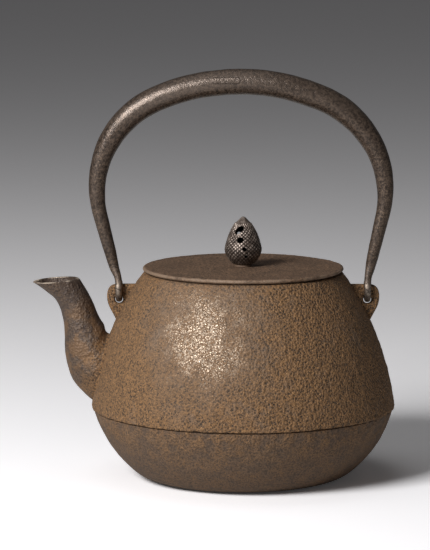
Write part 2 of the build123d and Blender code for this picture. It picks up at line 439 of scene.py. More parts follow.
    @staticmethod
    def pick_faces(rule: Rule) -> None:
        """Select the faces that meet a rule, in edit mode.

        Args:
            rule: says for a face's middle, in millimetres, whether it is wanted.
        """
        bpy.ops.mesh.select_mode(type="FACE")
        bpy.ops.mesh.select_all(action="DESELECT")
        mesh = bpy.context.object.data
        work = bmesh.from_edit_mesh(mesh)
        for face in work.faces:
            if rule(face.calc_center_median() / MM):
                face.select_set(True)
        work.select_flush_mode()
        bmesh.update_edit_mesh(mesh)

    @staticmethod
    def apply(obj: bpy.types.Object, kind: str, **settings: object) -> None:
        """Add one modifier and apply it.

        Args:
            obj: the piece.
            kind: the modifier's type.
            settings: its settings.
        """
        Bench.focus(obj)
        modifier = obj.modifiers.new(kind.lower(), kind)
        for key, value in settings.items():
            setattr(modifier, key, value)
        bpy.ops.object.modifier_apply(modifier=modifier.name)

    @staticmethod
    def join(obj: bpy.types.Object, other: bpy.types.Object, way: Joining) -> None:
        """Combine a closed solid with another, which is used up.

        Args:
            obj: the solid that is kept.
            other: the other one.
            way: how they are combined.
        """
        Bench.apply(obj, "BOOLEAN", object=other, operation=way.value, solver="MANIFOLD")
        bpy.data.objects.remove(other, do_unlink=True)

    @staticmethod
    def weigh(obj: bpy.types.Object, weight: Weight) -> str:
        """Write a vertex group from a function of place.

        Args:
            obj: the piece.
            weight: gives 0 to 1 for a point in millimetres.

        Returns:
            The group's name.
        """
        group = obj.vertex_groups.new(name="worked")
        for vertex in obj.data.vertices:
            group.add([vertex.index], weight(vertex.co / MM), "REPLACE")
        return group.name

    @staticmethod
    def work(obj: bpy.types.Object, weight: Weight, *layers: Unevenness) -> None:
        """Push a surface in and out by layers of unevenness.

        Args:
            obj: the piece.
            weight: how strongly each place is worked, 0 to 1.
            layers: what marks, one layer after the other.
        """
        for layer in layers:
            texture = bpy.data.textures.new(layer.kind.name.lower(), type=layer.kind.value)
            texture.noise_scale = layer.size * MM
            group = Bench.weigh(obj, weight)
            Bench.apply(
                obj,
                "DISPLACE",
                texture=texture,
                texture_coords="LOCAL",
                strength=layer.height * MM,
                mid_level=0.5,
                vertex_group=group,
            )
            obj.vertex_groups.remove(obj.vertex_groups[group])

    @staticmethod
    def subdivide(obj: bpy.types.Object) -> None:
        """Round a piece by subdividing it once."""
        Bench.apply(obj, "SUBSURF", levels=1, render_levels=1)

    @staticmethod
    def smooth(obj: bpy.types.Object, angle: float = 40.0) -> None:
        """Shade smoothly, except over edges sharper than an angle."""
        Bench.focus(obj)
        bpy.ops.object.shade_smooth_by_angle(angle=radians(angle))


# ---------------------------------------------------------------- finishes


class Value:
    """A number or colour that varies over a surface, and can be reckoned with."""

    def __init__(self, graph: "Graph", socket: Socket) -> None:
        """Keep the socket that gives it."""
        self.graph, self.socket = graph, socket

    def __add__(self, other: "Value | float") -> "Value":
        """Add."""
        return self.graph.math("ADD", self, other)

    def __sub__(self, other: "Value | float") -> "Value":
        """Take away."""
        return self.graph.math("SUBTRACT", self, other)

    def __rsub__(self, other: float) -> "Value":
        """Take it away from a plain number."""
        return self.graph.math("SUBTRACT", other, self)

    def __mul__(self, other: "Value | float") -> "Value":
        """Multiply."""
        return self.graph.math("MULTIPLY", self, other)

    def __or__(self, other: "Value | float") -> "Value":
        """Take the larger of the two."""
        return self.graph.math("MAXIMUM", self, other)

    def __abs__(self) -> "Value":
        """Drop the sign."""
        return self.graph.math("ABSOLUTE", self)


class Graph:
    """A material's nodes, with short ways to add the usual ones."""

    def __init__(self, name: str) -> None:
        """Start a material with an empty node tree.

        Args:
            name: the material's name.
        """
        self.material = bpy.data.materials.new(name)
        self.material.use_nodes = True
        self.tree = self.material.node_tree
        self.tree.nodes.clear()
        self.place = self.take("ShaderNodeTexCoord", output="Object")

    def add(
        self, kind: str, inputs: Optional[dict[object, object]] = None, **settings: object
    ) -> bpy.types.Node:
        """Add a node.

        Args:
            kind: the node's type.
            inputs: numbers, colours or values for its inputs, by name or number.
            settings: its other settings.

        Returns:
            The node.
        """
        node = self.tree.nodes.new(kind)
        for key, value in settings.items():
            setattr(node, key, value)
        for key, value in (inputs or {}).items():
            socket = node.inputs[key]
            if isinstance(value, Value):
                self.tree.links.new(value.socket, socket)
            elif socket.type == "RGBA":
                socket.default_value = (*value, 1.0)
            else:
                socket.default_value = value
        return node

    def take(
        self,
        kind: str,
        inputs: Optional[dict[object, object]] = None,
        output: int | str = 0,
        **settings: object,
    ) -> Value:
        """Add a node and take one of its outputs.

        Args:
            kind: the node's type.
            inputs: numbers, colours or values for its inputs, by name or number.
            output: the output's name or number.
            settings: its other settings.

        Returns:
            What the output gives.
        """
        return Value(self, self.add(kind, inputs, **settings).outputs[output])

    def axes(self, place: Optional[Value] = None) -> tuple[Value, ...]:
        """Give x, y and z of a point of the piece, in metres."""
        split = self.add("ShaderNodeSeparateXYZ", {0: place or self.place})
        return tuple(Value(self, output) for output in split.outputs)

    def moved(self, centre: Triple, scale: Triple) -> Value:
        """Centre the place on a point, in millimetres, and stretch it."""
        location = tuple(-c * MM * s for c, s in zip(centre, scale))
        inputs = {"Vector": self.place, "Location": location, "Scale": scale}
        return self.take("ShaderNodeMapping", inputs)

    def distance(self, centre: Triple, scale: Triple) -> Value:
        """Measure from a point, in millimetres, in stretched space, and give metres."""
        inputs = {0: self.moved(centre, scale)}
        return self.take("ShaderNodeVectorMath", inputs, "Value", operation="LENGTH")

    def noise(
        self, size: float, detail: float = 3, rough: float = 0.5, place: Optional[Value] = None
    ) -> Value:
        """Draw a cloudy pattern, mostly from 0.3 to 0.7.

        Args:
            size: the size of its marks, in millimetres.
            detail: how many finer layers it has.
            rough: how strong the finer layers are.
            place: another place to read it at.

        Returns:
            The pattern.
        """
        inputs = {"Vector": place or self.place, "Scale": 1 / (size * MM)}
        inputs |= {"Detail": detail, "Roughness": rough}
        return self.take("ShaderNodeTexNoise", inputs)

    def cells(self, size: float) -> Value:
        """Give the distance to the nearest of scattered points, 0 at each point."""
        inputs = {"Vector": self.place, "Scale": 1 / (size * MM)}
        return self.take("ShaderNodeTexVoronoi", inputs, "Distance")

    def math(self, operation: str, a: Value | float, b: Value | float = 0.0) -> Value:
        """Reckon with two numbers."""
        return self.take("ShaderNodeMath", {0: a, 1: b}, operation=operation)

    def step(self, value: Value, low: float, high: float) -> Value:
        """Go smoothly from 0 to 1.

        Args:
            value: what is read.
            low: where the result is 0, which may be the larger of the two.
            high: where the result is 1.

        Returns:
            The result.
        """
        inputs = {0: value, 1: low, 2: high}
        if high < low:
            inputs = {0: value, 1: high, 2: low, 3: 1.0, 4: 0.0}
        return self.take("ShaderNodeMapRange", inputs, interpolation_type="SMOOTHSTEP")

    def ramp(self, place: Value, start: float, end: float) -> Value:
        """Go smoothly from 0 at one place to 1 at another, both in millimetres."""
        return self.step(place, start * MM, end * MM)

    def span(self, value: Value, low: float, high: float) -> Value:
        """Put a value from 0 to 1 between two numbers."""
        return self.take("ShaderNodeMapRange", {0: value, 3: low, 4: high})

    def mix(self, share: Value | float, a: Value | Colour, b: Value | Colour) -> Value:
        """Mix two colours by the second one's share."""
        return self.take("ShaderNodeMix", {0: share, 6: a, 7: b}, 2, data_type="RGBA")

    def bumps(self, *layers: tuple[Value, float]) -> Value:
        """Raise the surface by patterns, one on top of the other.

        Args:
            layers: each pattern, from 0 to 1, with its height in millimetres.

        Returns:
            The bumped normal.
        """
        below = {}
        for pattern, height in layers:
            inputs = {"Height": pattern, "Distance": height * MM, "Strength": 1.0}
            normal = self.take("ShaderNodeBump", inputs | below)
            below = {"Normal": normal}
        return normal

    def surface(self, **inputs: object) -> bpy.types.Material:
        """Finish the material with the usual shader.

        Args:
            inputs: the shader's inputs, with _ for a space in their names.

        Returns:
            The material.
        """
        names = {key.replace("_", " "): value for key, value in inputs.items()}
        shader = self.take("ShaderNodeBsdfPrincipled", names)
        self.add("ShaderNodeOutputMaterial", {0: shader})
        return self.material


@dataclass(frozen=True)
class RustedIron:
    """Granular casting skin with orange-brown rust, and a worn spot with a painted highlight;
    smoother below the ridge and on the spout.
    """

    slot: str = "rusted_cast_iron"
    dark: Colour = (0.070, 0.041, 0.023)
    rust: Colour = (0.236, 0.124, 0.051)
    bright: Colour = (0.375, 0.206, 0.088)
    grey: Colour = (0.165, 0.122, 0.093)
    pit: Colour = (0.020, 0.015, 0.011)
    bowl: Colour = (0.066, 0.043, 0.029)
    bowl_light: Colour = (0.146, 0.090, 0.055)
    spout: Colour = (0.062, 0.043, 0.035)
    spout_blotch: Colour = (0.140, 0.092, 0.060)
    # Colour of the rubbed lip of the spout, and of the painted glints in the worn spot.
    worn: Colour = (0.980, 0.810, 0.640)
    blotch_size: float = 26.0
    stain_size: float = 7.0
    pebble_size: float = 1.35
    grain_size: float = 1.15
    fine_size: float = 0.62
    seam_z: float = 37.8
    shoulder_centre: Pair = (-73.75, 20.24)
    shoulder_arc: float = 157.0
    spout_x: Pair = (-60.0, -62.0)
    spout_z: Pair = (42.0, 44.0)
    lug_end_x: Pair = (-74.0, -74.6)
    lug_foot_z: Pair = (81.0, 80.0)
    mouth: Pair = (-101.4, 106.9)
    mouth_slope: float = 0.0752
    # The worn spot lies where the key lamp's reflection falls: it is partly wear and partly painted
    # highlight.
    worn_highlight_spot: Triple = (-22.0, -65.0, 86.0)
    worn_highlight_stretch: Triple = (1.0, 0.8, 0.88)

    def spout_share(self, g: Graph) -> tuple[Value, Value]:
        """Tell the spout from the body by how far it stands out of the shoulder.

        Args:
            g: the material's nodes.

        Returns:
            1 on the spout and 0 elsewhere, and the distance out of the shoulder in metres.
        """
        x, _, z = g.axes()
        centre_r, centre_z = self.shoulder_centre
        rise = z - centre_z * MM
        square = (self.shoulder_arc * MM) ** 2 - rise * rise
        out = g.distance(ORIGIN, FLAT) - (g.math("SQRT", square) + centre_r * MM)
        off_lug = g.ramp(x, *self.lug_end_x) | g.ramp(z, *self.lug_foot_z)
        near = off_lug * g.ramp(x, *self.spout_x) * g.ramp(z, *self.spout_z)
        return g.ramp(out, 0.9, 1.5) * near, out

    def material(self) -> bpy.types.Material:
        """Build the finish.

        Returns:
            The material.
        """
        g = Graph(self.slot)
        x, _, z = g.axes()
        spout, out = self.spout_share(g)
        upper = g.ramp(z, self.seam_z - 0.3, self.seam_z + 0.3)
        skin = upper * (1.0 - spout)
        blotch, stain = g.noise(self.blotch_size, 3, 0.55), g.noise(self.stain_size, 4, 0.6)
        grain, fine = g.noise(self.grain_size, 4, 0.65), g.noise(self.fine_size, 2)
        pebbles = g.cells(self.pebble_size)

        # The shoulder: rust over dark iron, greyed in places and black in its pits.
        colour = g.mix(g.step(grain, 0.34, 0.62), self.dark, self.rust)
        colour = g.mix(g.step(fine, 0.50, 0.68) * 0.8, colour, self.bright)
        greyed = g.step(stain, 0.46, 0.66) * g.step(blotch, 0.42, 0.62)
        colour = g.mix(greyed * 0.4, colour, self.grey)
        hollow = g.step(pebbles, 0.47, 0.19) * g.step(g.noise(4, 3), 0.37, 0.52)
        colour = g.mix(hollow * 0.85, colour, self.pit)

        # The worn spot, placed where the key lamp's reflection falls: partly worn iron, partly
        # painted highlight, with a grey halo, a painted lightening in its middle, and painted
        # near-white glints in threads and flecks on its highest grains.
        ragged = g.span(g.noise(13, 3), -20 * MM, 20 * MM)
        edge = g.distance(self.worn_highlight_spot, self.worn_highlight_stretch) + ragged
        colour = g.mix(g.ramp(edge, 48, 20) * skin * 0.34, colour, self.grey)
        bare_and_highlight = g.ramp(edge, 34, 2) * skin
        # Painted highlight: the middle of the worn spot is lightened.
        colour = g.mix(bare_and_highlight * 0.25, colour, self.bright)
        curl = abs(g.noise(2.0, 2) - 0.5)
        glint_thread = g.step(curl, 0.040, 0.010) * g.step(g.noise(5, 3), 0.42, 0.62)
        glint_fleck = g.step(fine + bare_and_highlight * 0.10, 0.63, 0.71)
        crown = (glint_thread * 0.7 | glint_fleck) * g.step(bare_and_highlight, 0.0, 0.9)
        # Painted glints: near-white on the crowns of the grains in the worn spot.
        colour = g.mix(crown * 0.85, colour, self.worn)

        # The bowl: plainer and darker, with rust that grows down from the ridge.
        bowl = g.mix(g.step(grain, 0.36, 0.62), self.bowl, self.bowl_light)
        flecked = g.step(fine, 0.48, 0.62) * g.step(stain, 0.38, 0.62)
        bowl = g.mix(flecked * 0.75, bowl, self.rust)
        grown = g.ramp(z, 15, 36) * g.step(stain, 0.40, 0.58)
        bowl = g.mix(grown * 0.6, bowl, colour)
        colour = g.mix(upper, bowl, colour)

        # The spout: grey-brown with russet blotches, and the body's rust round its root.
        gun = g.mix(g.step(grain, 0.38, 0.60), self.spout, self.spout_blotch)
        gun = g.mix(g.step(blotch, 0.56, 0.44) * 0.55, gun, self.spout)
        gun = g.mix(g.step(fine, 0.56, 0.68) * 0.45, gun, self.grey)
        russet = g.step(g.noise(13, 4, 0.6), 0.50, 0.60) * g.ramp(z, 104, 80)
        gun = g.mix(russet * 0.45, gun, self.rust)
        rooted = g.ramp(out + g.span(stain, -9 * MM, 9 * MM), 15, 2) * g.ramp(z, 84, 73)
        gun = g.mix(rooted * 0.8, gun, colour)
        colour = g.mix(spout, colour, gun)

        # The rubbed edge of the spout's mouth.
        mouth_x, mouth_z = self.mouth
        level = z - mouth_z * MM - (x - mouth_x * MM) * self.mouth_slope
        lip = g.ramp(level, -0.55, -0.15) * spout * g.step(stain, 0.40, 0.60)
        colour = g.mix(lip * 0.6, colour, self.worn)

        shine = bare_and_highlight * 0.4 | spout * 0.62 | lip | crown
        pressed = g.span(skin | grown * 0.6, 0.30, 1.0)
        return g.surface(
            Base_Color=colour,
            Roughness=g.span(grain, 0.68, 0.95) - shine * 0.42,
            Metallic=spout * 0.3 | crown * 0.9,
            Normal=g.bumps(
                (g.noise(3.2, 2) * pressed, 0.55), (pebbles * pressed, 0.65), (fine * pressed, 0.34)
            ),
            IOR=1.5,
        )


@dataclass(frozen=True)
class LidIron:
    """Fine brown casting skin, rubbed lighter along the lid's edge."""

    slot: str = "lid_iron"
    dark: Colour = (0.058, 0.034, 0.020)
    brown: Colour = (0.232, 0.134, 0.076)
    rubbed: Colour = (0.310, 0.215, 0.148)
    edge_r: float = 53.4

    def material(self) -> bpy.types.Material:
        """Build the finish.

        Returns:
            The material.
        """
        g = Graph(self.slot)
        grain, cloud, fine = g.noise(1.2, 4, 0.65), g.noise(14, 4, 0.55), g.noise(0.6, 2)
        colour = g.mix(g.step(grain, 0.38, 0.60), self.dark, self.brown)
        colour = g.mix(g.step(fine, 0.56, 0.68) * 0.5, colour, self.rubbed)
        colour = g.mix(g.step(cloud, 0.45, 0.65) * 0.3, colour, self.dark)
        rim = g.ramp(g.distance(ORIGIN, FLAT), self.edge_r - 0.5, self.edge_r + 0.5)
        worn = rim * g.step(g.noise(9, 3), 0.35, 0.6)
        return g.surface(
            Base_Color=g.mix(worn * 0.7, colour, self.rubbed),
            Roughness=g.span(grain, 0.6, 0.9) - worn * 0.25,
            Metallic=0.1,
            Normal=g.bumps((g.noise(2.4, 2), 0.50), (grain, 0.50), (fine, 0.16)),
        )


@dataclass(frozen=True)
class ForgedIron:
    """Dark forged iron with a low gloss, worn where the hooks rub, and polished with a painted
    sheen where a hand holds it.
    """

    slot: str = "forged_iron"
    dark: Colour = (0.036, 0.025, 0.019)
    brown: Colour = (0.112, 0.079, 0.059)
    scale: Colour = (0.230, 0.160, 0.108)
    bright: Colour = (0.300, 0.245, 0.200)
    polish_and_sheen: Colour = (0.240, 0.190, 0.158)
    arch_centre: Triple = (0.0, 0.0, 101.4)
    arch_r: float = 113.0
    hook_z: Pair = (108.5, 103.0)
    eye_z: Pair = (98.5, 100.0)
    legs_z: Pair = (196.0, 150.0)
    grip_z: Pair = (185.0, 208.0)
    lit_side_x: Pair = (35.0, -5.0)
    lap: Triple = (-10.5, 0.0, 216.2)
    lap_half: float = 7.5
    lap_round: float = 1.7

    def material(self) -> bpy.types.Material:
        """Build the finish.

        Returns:
            The material.
        """
        g = Graph(self.slot)
        x, _, z = g.axes()
        cloud, mottled, fine = g.noise(11, 4, 0.6), g.noise(1.6, 4, 0.62), g.noise(0.8, 3, 0.6)
        colour = g.mix(g.step(mottled, 0.34, 0.66), self.dark, self.brown)
        legs = g.ramp(z, *self.legs_z)
        flaked = g.step(fine, 0.50, 0.66) * g.span(legs, 0.20, 0.70) * g.step(cloud, 0.36, 0.56)
        colour = g.mix(flaked, colour, self.scale)

        # The band along the middle of the grip, lighter towards the lit left side: partly hand
        # polish, partly painted sheen.
        arch = g.distance(self.arch_centre, (1, 0, 1))
        held_and_sheen = g.ramp(arch, self.arch_r - 4, self.arch_r + 1.5)
        held_and_sheen = held_and_sheen * g.ramp(arch, self.arch_r + 6.6, self.arch_r + 2.5)
        held_and_sheen = held_and_sheen * g.ramp(z, *self.grip_z) * g.span(g.ramp(x, *self.lit_side_x), 0.10, 0.42)
        # Painted sheen: the grip's band is lightened, more on its left side.
        colour = g.mix(held_and_sheen, colour, self.polish_and_sheen)

        rubbed = g.ramp(z, *self.hook_z) * g.step(mottled, 0.34, 0.50)
        rubbed = rubbed * g.span(g.ramp(z, *self.eye_z), 0.25, 1.0)
        colour = g.mix(rubbed, colour, self.bright)
        mark = self.lap_mark(g)
        return g.surface(
            Base_Color=g.mix(mark * 0.55, colour, self.dark),
            Roughness=g.span(mottled, 0.22, 0.37) + g.span(legs, 0.0, 0.20),
            Metallic=g.span(rubbed, 0.48, 0.95),
            Normal=g.bumps(
                (g.noise(4.0, 3), 0.12), (mottled, 0.14), (fine, 0.12), (1.0 - mark, 0.28)
            ),
        )

    def lap_mark(self, g: Graph) -> Value:
        """Draw the line of a tongue that was folded over and hammered flat on the grip's front.

        Args:
            g: the material's nodes.

        Returns:
            1 on the line and 0 elsewhere.
        """
        x, y, z = g.axes(g.moved(self.lap, (1, 1, 1)))
        reach = abs(x) - self.lap_half * MM | 0.0
        rise = z + g.noise(5, 2) * (1.2 * MM)
        away = g.math("SQRT", reach * reach + rise * rise)
        line = g.ramp(abs(away - self.lap_round * MM), 0.45, 0.15)
        return line * g.ramp(y, -3, -4) * g.ramp(x, -7, -3)


@dataclass(frozen=True)
class KnobMetal:
    """Dark patina in the hollows of the scales, rubbed metal on their crowns, and painted shade
    over the bud's lower part.
    """

    slot: str = "knob_metal"
    # Also the colour of the painted shade over the bud's lower part.
    hollow: Colour = (0.042, 0.032, 0.026)
    patina: Colour = (0.132, 0.099, 0.081)
    rubbed: Colour = (0.470, 0.390, 0.335)
    foot: Colour = (0.125, 0.076, 0.047)
    foot_z: float = 115.8
    waist: float = 11.0

    def material(self) -> bpy.types.Material:
        """Build the finish.

        Returns:
            The material.
        """
        g = Graph(self.slot)
        z = g.axes()[2]
        crown = g.take("ShaderNodeAttribute", output="Fac", attribute_name="crown")
        mottled, fine = g.noise(2.2, 4, 0.6), g.noise(0.5, 3)
        colour = g.mix(g.step(crown, 0.15, 0.50), self.hollow, self.patina)
        high = g.step(crown, 0.45, 0.85) * g.step(g.noise(3.0, 3), 0.38, 0.58)
        colour = g.mix(high * 0.85, colour, self.rubbed)
        # Painted shade: the bud darkens towards its foot.
        painted_shade = g.ramp(z, self.foot_z + self.waist, self.foot_z) * 0.6
        colour = g.mix(painted_shade, colour, self.hollow)
        foot = g.ramp(z, self.foot_z + 0.3, self.foot_z)
        return g.surface(
            Base_Color=g.mix(foot, colour, self.foot),
            Roughness=g.span(mottled, 0.30, 0.52) - high * 0.06 | foot * 0.75,
            Metallic=(1.0 - foot) * 0.6,
            Normal=g.bumps((mottled, 0.12), (fine, 0.06)),
        )


@dataclass(frozen=True)
class RivetIron:
    """Hammered dark iron."""

    slot: str = "rivet_iron"
    dark: Colour = (0.050, 0.036, 0.028)
    brown: Colour = (0.130, 0.096, 0.074)

    def material(self) -> bpy.types.Material:
        """Build the finish.

        Returns:
            The material.
        """
        g = Graph(self.slot)
        mottled = g.noise(1.6, 4, 0.6)
        return g.surface(
            Base_Color=g.mix(g.step(mottled, 0.38, 0.62), self.dark, self.brown),
            Roughness=g.span(mottled, 0.35, 0.7),
            Metallic=0.5,
            Normal=g.bumps((g.noise(1.2, 2), 0.18)),
        )


@dataclass(frozen=True)
class StrainerSteel:
    """Brushed stainless sheet, with a faint brown of tea."""

    slot: str = "strainer_steel"
    steel: Colour = (0.560, 0.555, 0.545)
    tea: Colour = (0.400, 0.330, 0.250)
    brushing: Triple = (0.12, 0.12, 1.0)

    def material(self) -> bpy.types.Material:
        """Build the finish.

        Returns:
            The material.
        """
        g = Graph(self.slot)
        brushed = g.noise(0.5, 3, 0.6, g.moved(ORIGIN, self.brushing))
        stained = g.step(g.noise(9, 4, 0.6), 0.52, 0.70)
        return g.surface(
            Base_Color=g.mix(stained * 0.45, self.steel, self.tea),
            Roughness=g.span(brushed, 0.22, 0.46) + stained * 0.1,
            Metallic=0.95,
            Normal=g.bumps((brushed, 0.03)),
        )


Finish = RustedIron | LidIron | ForgedIron | KnobMetal | RivetIron | StrainerSteel


class Wardrobe:
    """Gives finished pieces their material and their body, and hides the CAD nodes that they stand
    for.
    """

    def __init__(self) -> None:
        """Start with no materials made."""
        self.made: dict[str, bpy.types.Material] = {}

    def dress(self, obj: bpy.types.Object, finish: Finish, body: Body, *nodes: str) -> None:
        """Dress one piece.

        Args:
            obj: the piece, with its mesh final.
            finish: what its surface is like.
            body: the body that it moves with.
            nodes: the CAD nodes that it stands for.
        """
        if finish.slot not in self.made:
            self.made[finish.slot] = finish.material()
        obj.data.materials.clear()
        obj.data.materials.append(self.made[finish.slot])
        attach(obj, body.value)
        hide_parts(*nodes)
        obj.data.calc_loop_triangles()
        log.info("%s: %d triangles", obj.name, len(obj.data.loop_triangles))


# ---------------------------------------------------------------- sub-assemblies


@dataclass
class Spout:
    """The spout's outside and its channel, along one row of stations."""

    ridge_r: float = 82.0
    ridge_z: float = 39.0
    wall: float = 2.6
    lip_wall: float = 1.5
    lip_run: float = 8.0
    run_out: float = 1.5
    mouth_ease: float = 0.35
    true_z: float = 107.0
    step: float = 1.3
    sides: int = 72
    stations: tuple[Row, ...] = (
        (-13.0, 17.5, 19.8, 20.7, 16.0),
        (-3.0, 21.5, 18.2, 18.0, 15.0),
        (2.0, 28.3, 29.5, 17.2, 13.5),
        (4.9, 36.0, 41.8, 14.1, 12.0),
        (6.1, 44.3, 56.2, 10.6, 10.6),
        (7.7, 52.0, 66.7, 9.0, 9.8),
        (11.0, 59.3, 76.9, 8.9, 9.6),
        (15.3, 64.1, 80.3, 10.4, 10.1),
        (19.4, 67.9, 85.7, 12.5, 11.0),
    )

    def placed(self) -> list[Row]:
        """Put each station's distance along the spout before its numbers.

        Returns:
            The rows.
        """
        rows, along = [], 0.0
        for i, row in enumerate(self.stations):
            if i:
                last = self.stations[i - 1]
                along += sqrt((row[0] - last[0]) ** 2 + (row[1] - last[1]) ** 2)
            rows.append((along, *row))
        return rows

    def ring(self, row: Sequence[float], wall: float, along: float = 0.0) -> Ring:
        """Make one section.

        Args:
            row: (out, up, rise, half depth, half width).
            wall: how much smaller than the outside it is.
            along: how far it is moved on along the spout.

        Returns:
            The section.
        """
        out, up, rise, half_depth, half_width = row
        turn = radians(rise)
        centre = (
            -(self.ridge_r + out) - along * cos(turn),
            0.0,
            self.ridge_z + up + along * sin(turn),
        )
        return Ring(centre, (0.0, turn - pi / 2, 0.0), half_depth - wall, half_width - wall)

    def outside(self) -> bpy.types.Object:
        """Build the spout's outside, with its mouth's edge eased.

        Returns:
            The closed spout.
        """
        rows = self.placed()
        length = rows[-1][0]
        count = ceil(length / self.step)
        rings = [self.ring(smooth_value(rows, length * i / count), 0.0) for i in range(count)]
        rings.append(self.ring(self.stations[-1], 0.0, -self.mouth_ease))
        rings.append(self.ring(self.stations[-1], self.mouth_ease, 0.0))
        obj = Bench.sweep("spout", rings, self.sides)
        Bench.work(obj, lambda p: fade(p.z, self.true_z, self.true_z - 7), Unevenness(9.0, 0.45))
        Bench.work(obj, lambda p: fade(p.z, self.true_z, self.true_z - 3), Unevenness(2.6, 0.16))
        return obj

    def channel(self) -> bpy.types.Object:
        """Build the cutter for the way through the spout, with a thin lip at the mouth.

        Returns:
            The cutter.
        """
        rows = self.placed()
        length = rows[-1][0]
        count = ceil(length / (2 * self.step))
        rings = []
        for i in range(count + 1):
            at = length * i / count
            share = fade(at, length - self.lip_run, length)
            wall = self.wall + (self.lip_wall - self.wall) * share
            rings.append(self.ring(smooth_value(rows, at), wall))
        rings.append(self.ring(self.stations[-1], self.lip_wall, self.run_out))
        return Bench.sweep("spout_channel", rings, self.sides // 2)


@dataclass
class KettleShell:
    """The casting: bowl, ridge, shoulder, mouth, lugs and spout, hollow inside."""

    spout: Spout
    ridge_r: float = 82.0
    ridge_z: float = 39.0
    ridge_half: float = 1.0
    ridge_step: float = 0.9
    seam_depth: float = 0.9
    shoulder_arc: float = 157.0
    bowl_arc: float = 66.0
    bowl_corner_r: float = 54.5
    toe_radius: float = 20.0
    wall: float = 3.4
    floor: float = 4.2
    mouth_r: float = 54.0
    mouth_z: float = 111.5
    lip_thickness: float = 5.6
    ledge_r: float = 47.0
    ledge_z: float = 109.5
    bore_r: float = 44.0
    lug_hole: Pair = (67.2, 96.4)
    lug_half: float = 2.3
    lug_edge: float = 1.25
    lug_corners: tuple[Triple, ...] = (
        (50.6, 104.7, 0.0),
        (50.6, 82.4, 0.0),
        (67.3, 82.4, 0.0),
        (73.7, 94.6, 14.0),
        (73.7, 104.7, 6.2),
    )
    eye_sections: tuple[Pair, ...] = ((4.0, 4.3), (2.3, 2.95), (1.7, 2.4), (0.9, 2.15))
    eye_sides: int = 32
    sides: int = 480
    step: float = 1.05

    def bowl(self, inset: float, base_z: float, top: Pair, step: float) -> Outline:
        """Draw the base, the toe and the bowl.

        Args:
            inset: how far inside the outer surface the line runs.
            base_z: height of the flat base.
            top: where the bowl ends.
            step: distance between points.

        Returns:
            The points from the axis outwards and up.
        """
        corner = (self.bowl_corner_r - inset, base_z)
        radius, toe = self.bowl_arc - inset, self.toe_radius - inset
        centre = arc_centre(corner, top, radius)
        toe_z = base_z + toe
        toe_x = centre.x + sqrt((radius - toe) ** 2 - (toe_z - centre.y) ** 2)
        meet = centre + (Vector((toe_x, toe_z)) - centre) * radius / (radius - toe)
        points = [(0.0, base_z)]
        points += straight(points[-1], (toe_x, base_z), 5 * step)
        points += arc(points[-1], tuple(meet), toe, step)
        points += arc(points[-1], top, radius, step)
        return points

    def outer(self) -> bpy.types.Object:
        """Turn the body's outside and work its skin.

        Returns:
            The body, closed at its mouth.
        """
        low, high = self.ridge_z - self.ridge_half, self.ridge_z + self.ridge_half
        bowl_r = self.ridge_r - self.ridge_step
        points = self.bowl(0.0, 0.0, (bowl_r, low - 1.2), self.step)
        points += [
            (bowl_r + 0.05, low - 0.75),
            (bowl_r - self.seam_depth, low - 0.45),
            (bowl_r - self.seam_depth, low - 0.1),
            (self.ridge_r - 0.1, low - 0.05),
            (self.ridge_r + 0.15, low + 0.45),
            (self.ridge_r + 0.15, self.ridge_z),
            (self.ridge_r, high),
        ]
        shoulder_top = (self.mouth_r + 0.3, self.mouth_z - 1.1)
        points += arc(points[-1], shoulder_top, self.shoulder_arc, self.step)
        points += [
            (self.mouth_r - 0.2, self.mouth_z - 0.45),
            (self.mouth_r - 1.1, self.mouth_z - 0.1),
            (self.mouth_r - 1.9, self.mouth_z),
            (self.ledge_r - 2, self.mouth_z),
            (0.0, self.mouth_z),
        ]
        obj = Bench.lathe("kettle_shell", points, self.sides)

        def all_over(p: Vector) -> float:
            """Leave the base and the rim true."""
            return fade(p.z, 0.3, 7.0) * fade(p.z, 110.6, 106.5)

        def skin(p: Vector) -> float:
            """Work the shoulder fully and the bowl lightly."""
            return all_over(p) * (0.28 + 0.72 * fade(p.z, 37.2, 38.2))

        def ridge(p: Vector) -> float:
            """Work only the ridge and what is just over it."""
            return fade(p.z, 37.4, 37.9) * fade(p.z, 42.0, 39.5)

        Bench.work(obj, all_over, Unevenness(42.0, 0.9), Unevenness(11.0, 0.42))
        Bench.work(obj, skin, Unevenness(3.4, 0.42), Unevenness(2.3, 0.34, Texture.PEBBLED))
        Bench.work(obj, ridge, Unevenness(4.5, 0.8))
        return obj

    def cavity(self) -> bpy.types.Object:
        """Turn the cutter for the water space and the mouth.

        Returns:
            The cutter.
        """
        step = 3 * self.step
        lip_z = self.mouth_z - self.lip_thickness
        bowl_top = (self.ridge_r - self.ridge_step - self.wall, self.ridge_z)
        slope = (self.ridge_r - self.mouth_r) / (self.mouth_z - self.ridge_z)
        neck = (self.mouth_r + self.lip_thickness * slope - self.wall, lip_z)
        points = self.bowl(self.wall, self.floor, bowl_top, step)
        points += arc(bowl_top, neck, self.shoulder_arc - self.wall, step)
        points += straight(neck, (self.bore_r + 0.6, lip_z), step)
        points += [(self.bore_r, lip_z + 0.6), (self.bore_r, self.ledge_z - 0.4)]
        points += [(self.bore_r + 0.4, self.ledge_z), (self.ledge_r, self.ledge_z)]
        points += [(self.ledge_r, self.mouth_z - 0.5), (self.ledge_r + 0.5, self.mouth_z)]
        points += [(self.ledge_r + 0.5, self.mouth_z + 2), (0.0, self.mouth_z + 2)]
        obj = Bench.lathe("water_space", points, self.sides // 3)

        def inside(p: Vector) -> float:
            """Leave the mouth true."""
            return fade(p.z, self.floor, 12.0) * fade(p.z, lip_z - 2, lip_z - 8)

        Bench.work(obj, inside, Unevenness(9.0, 0.6))
        return obj

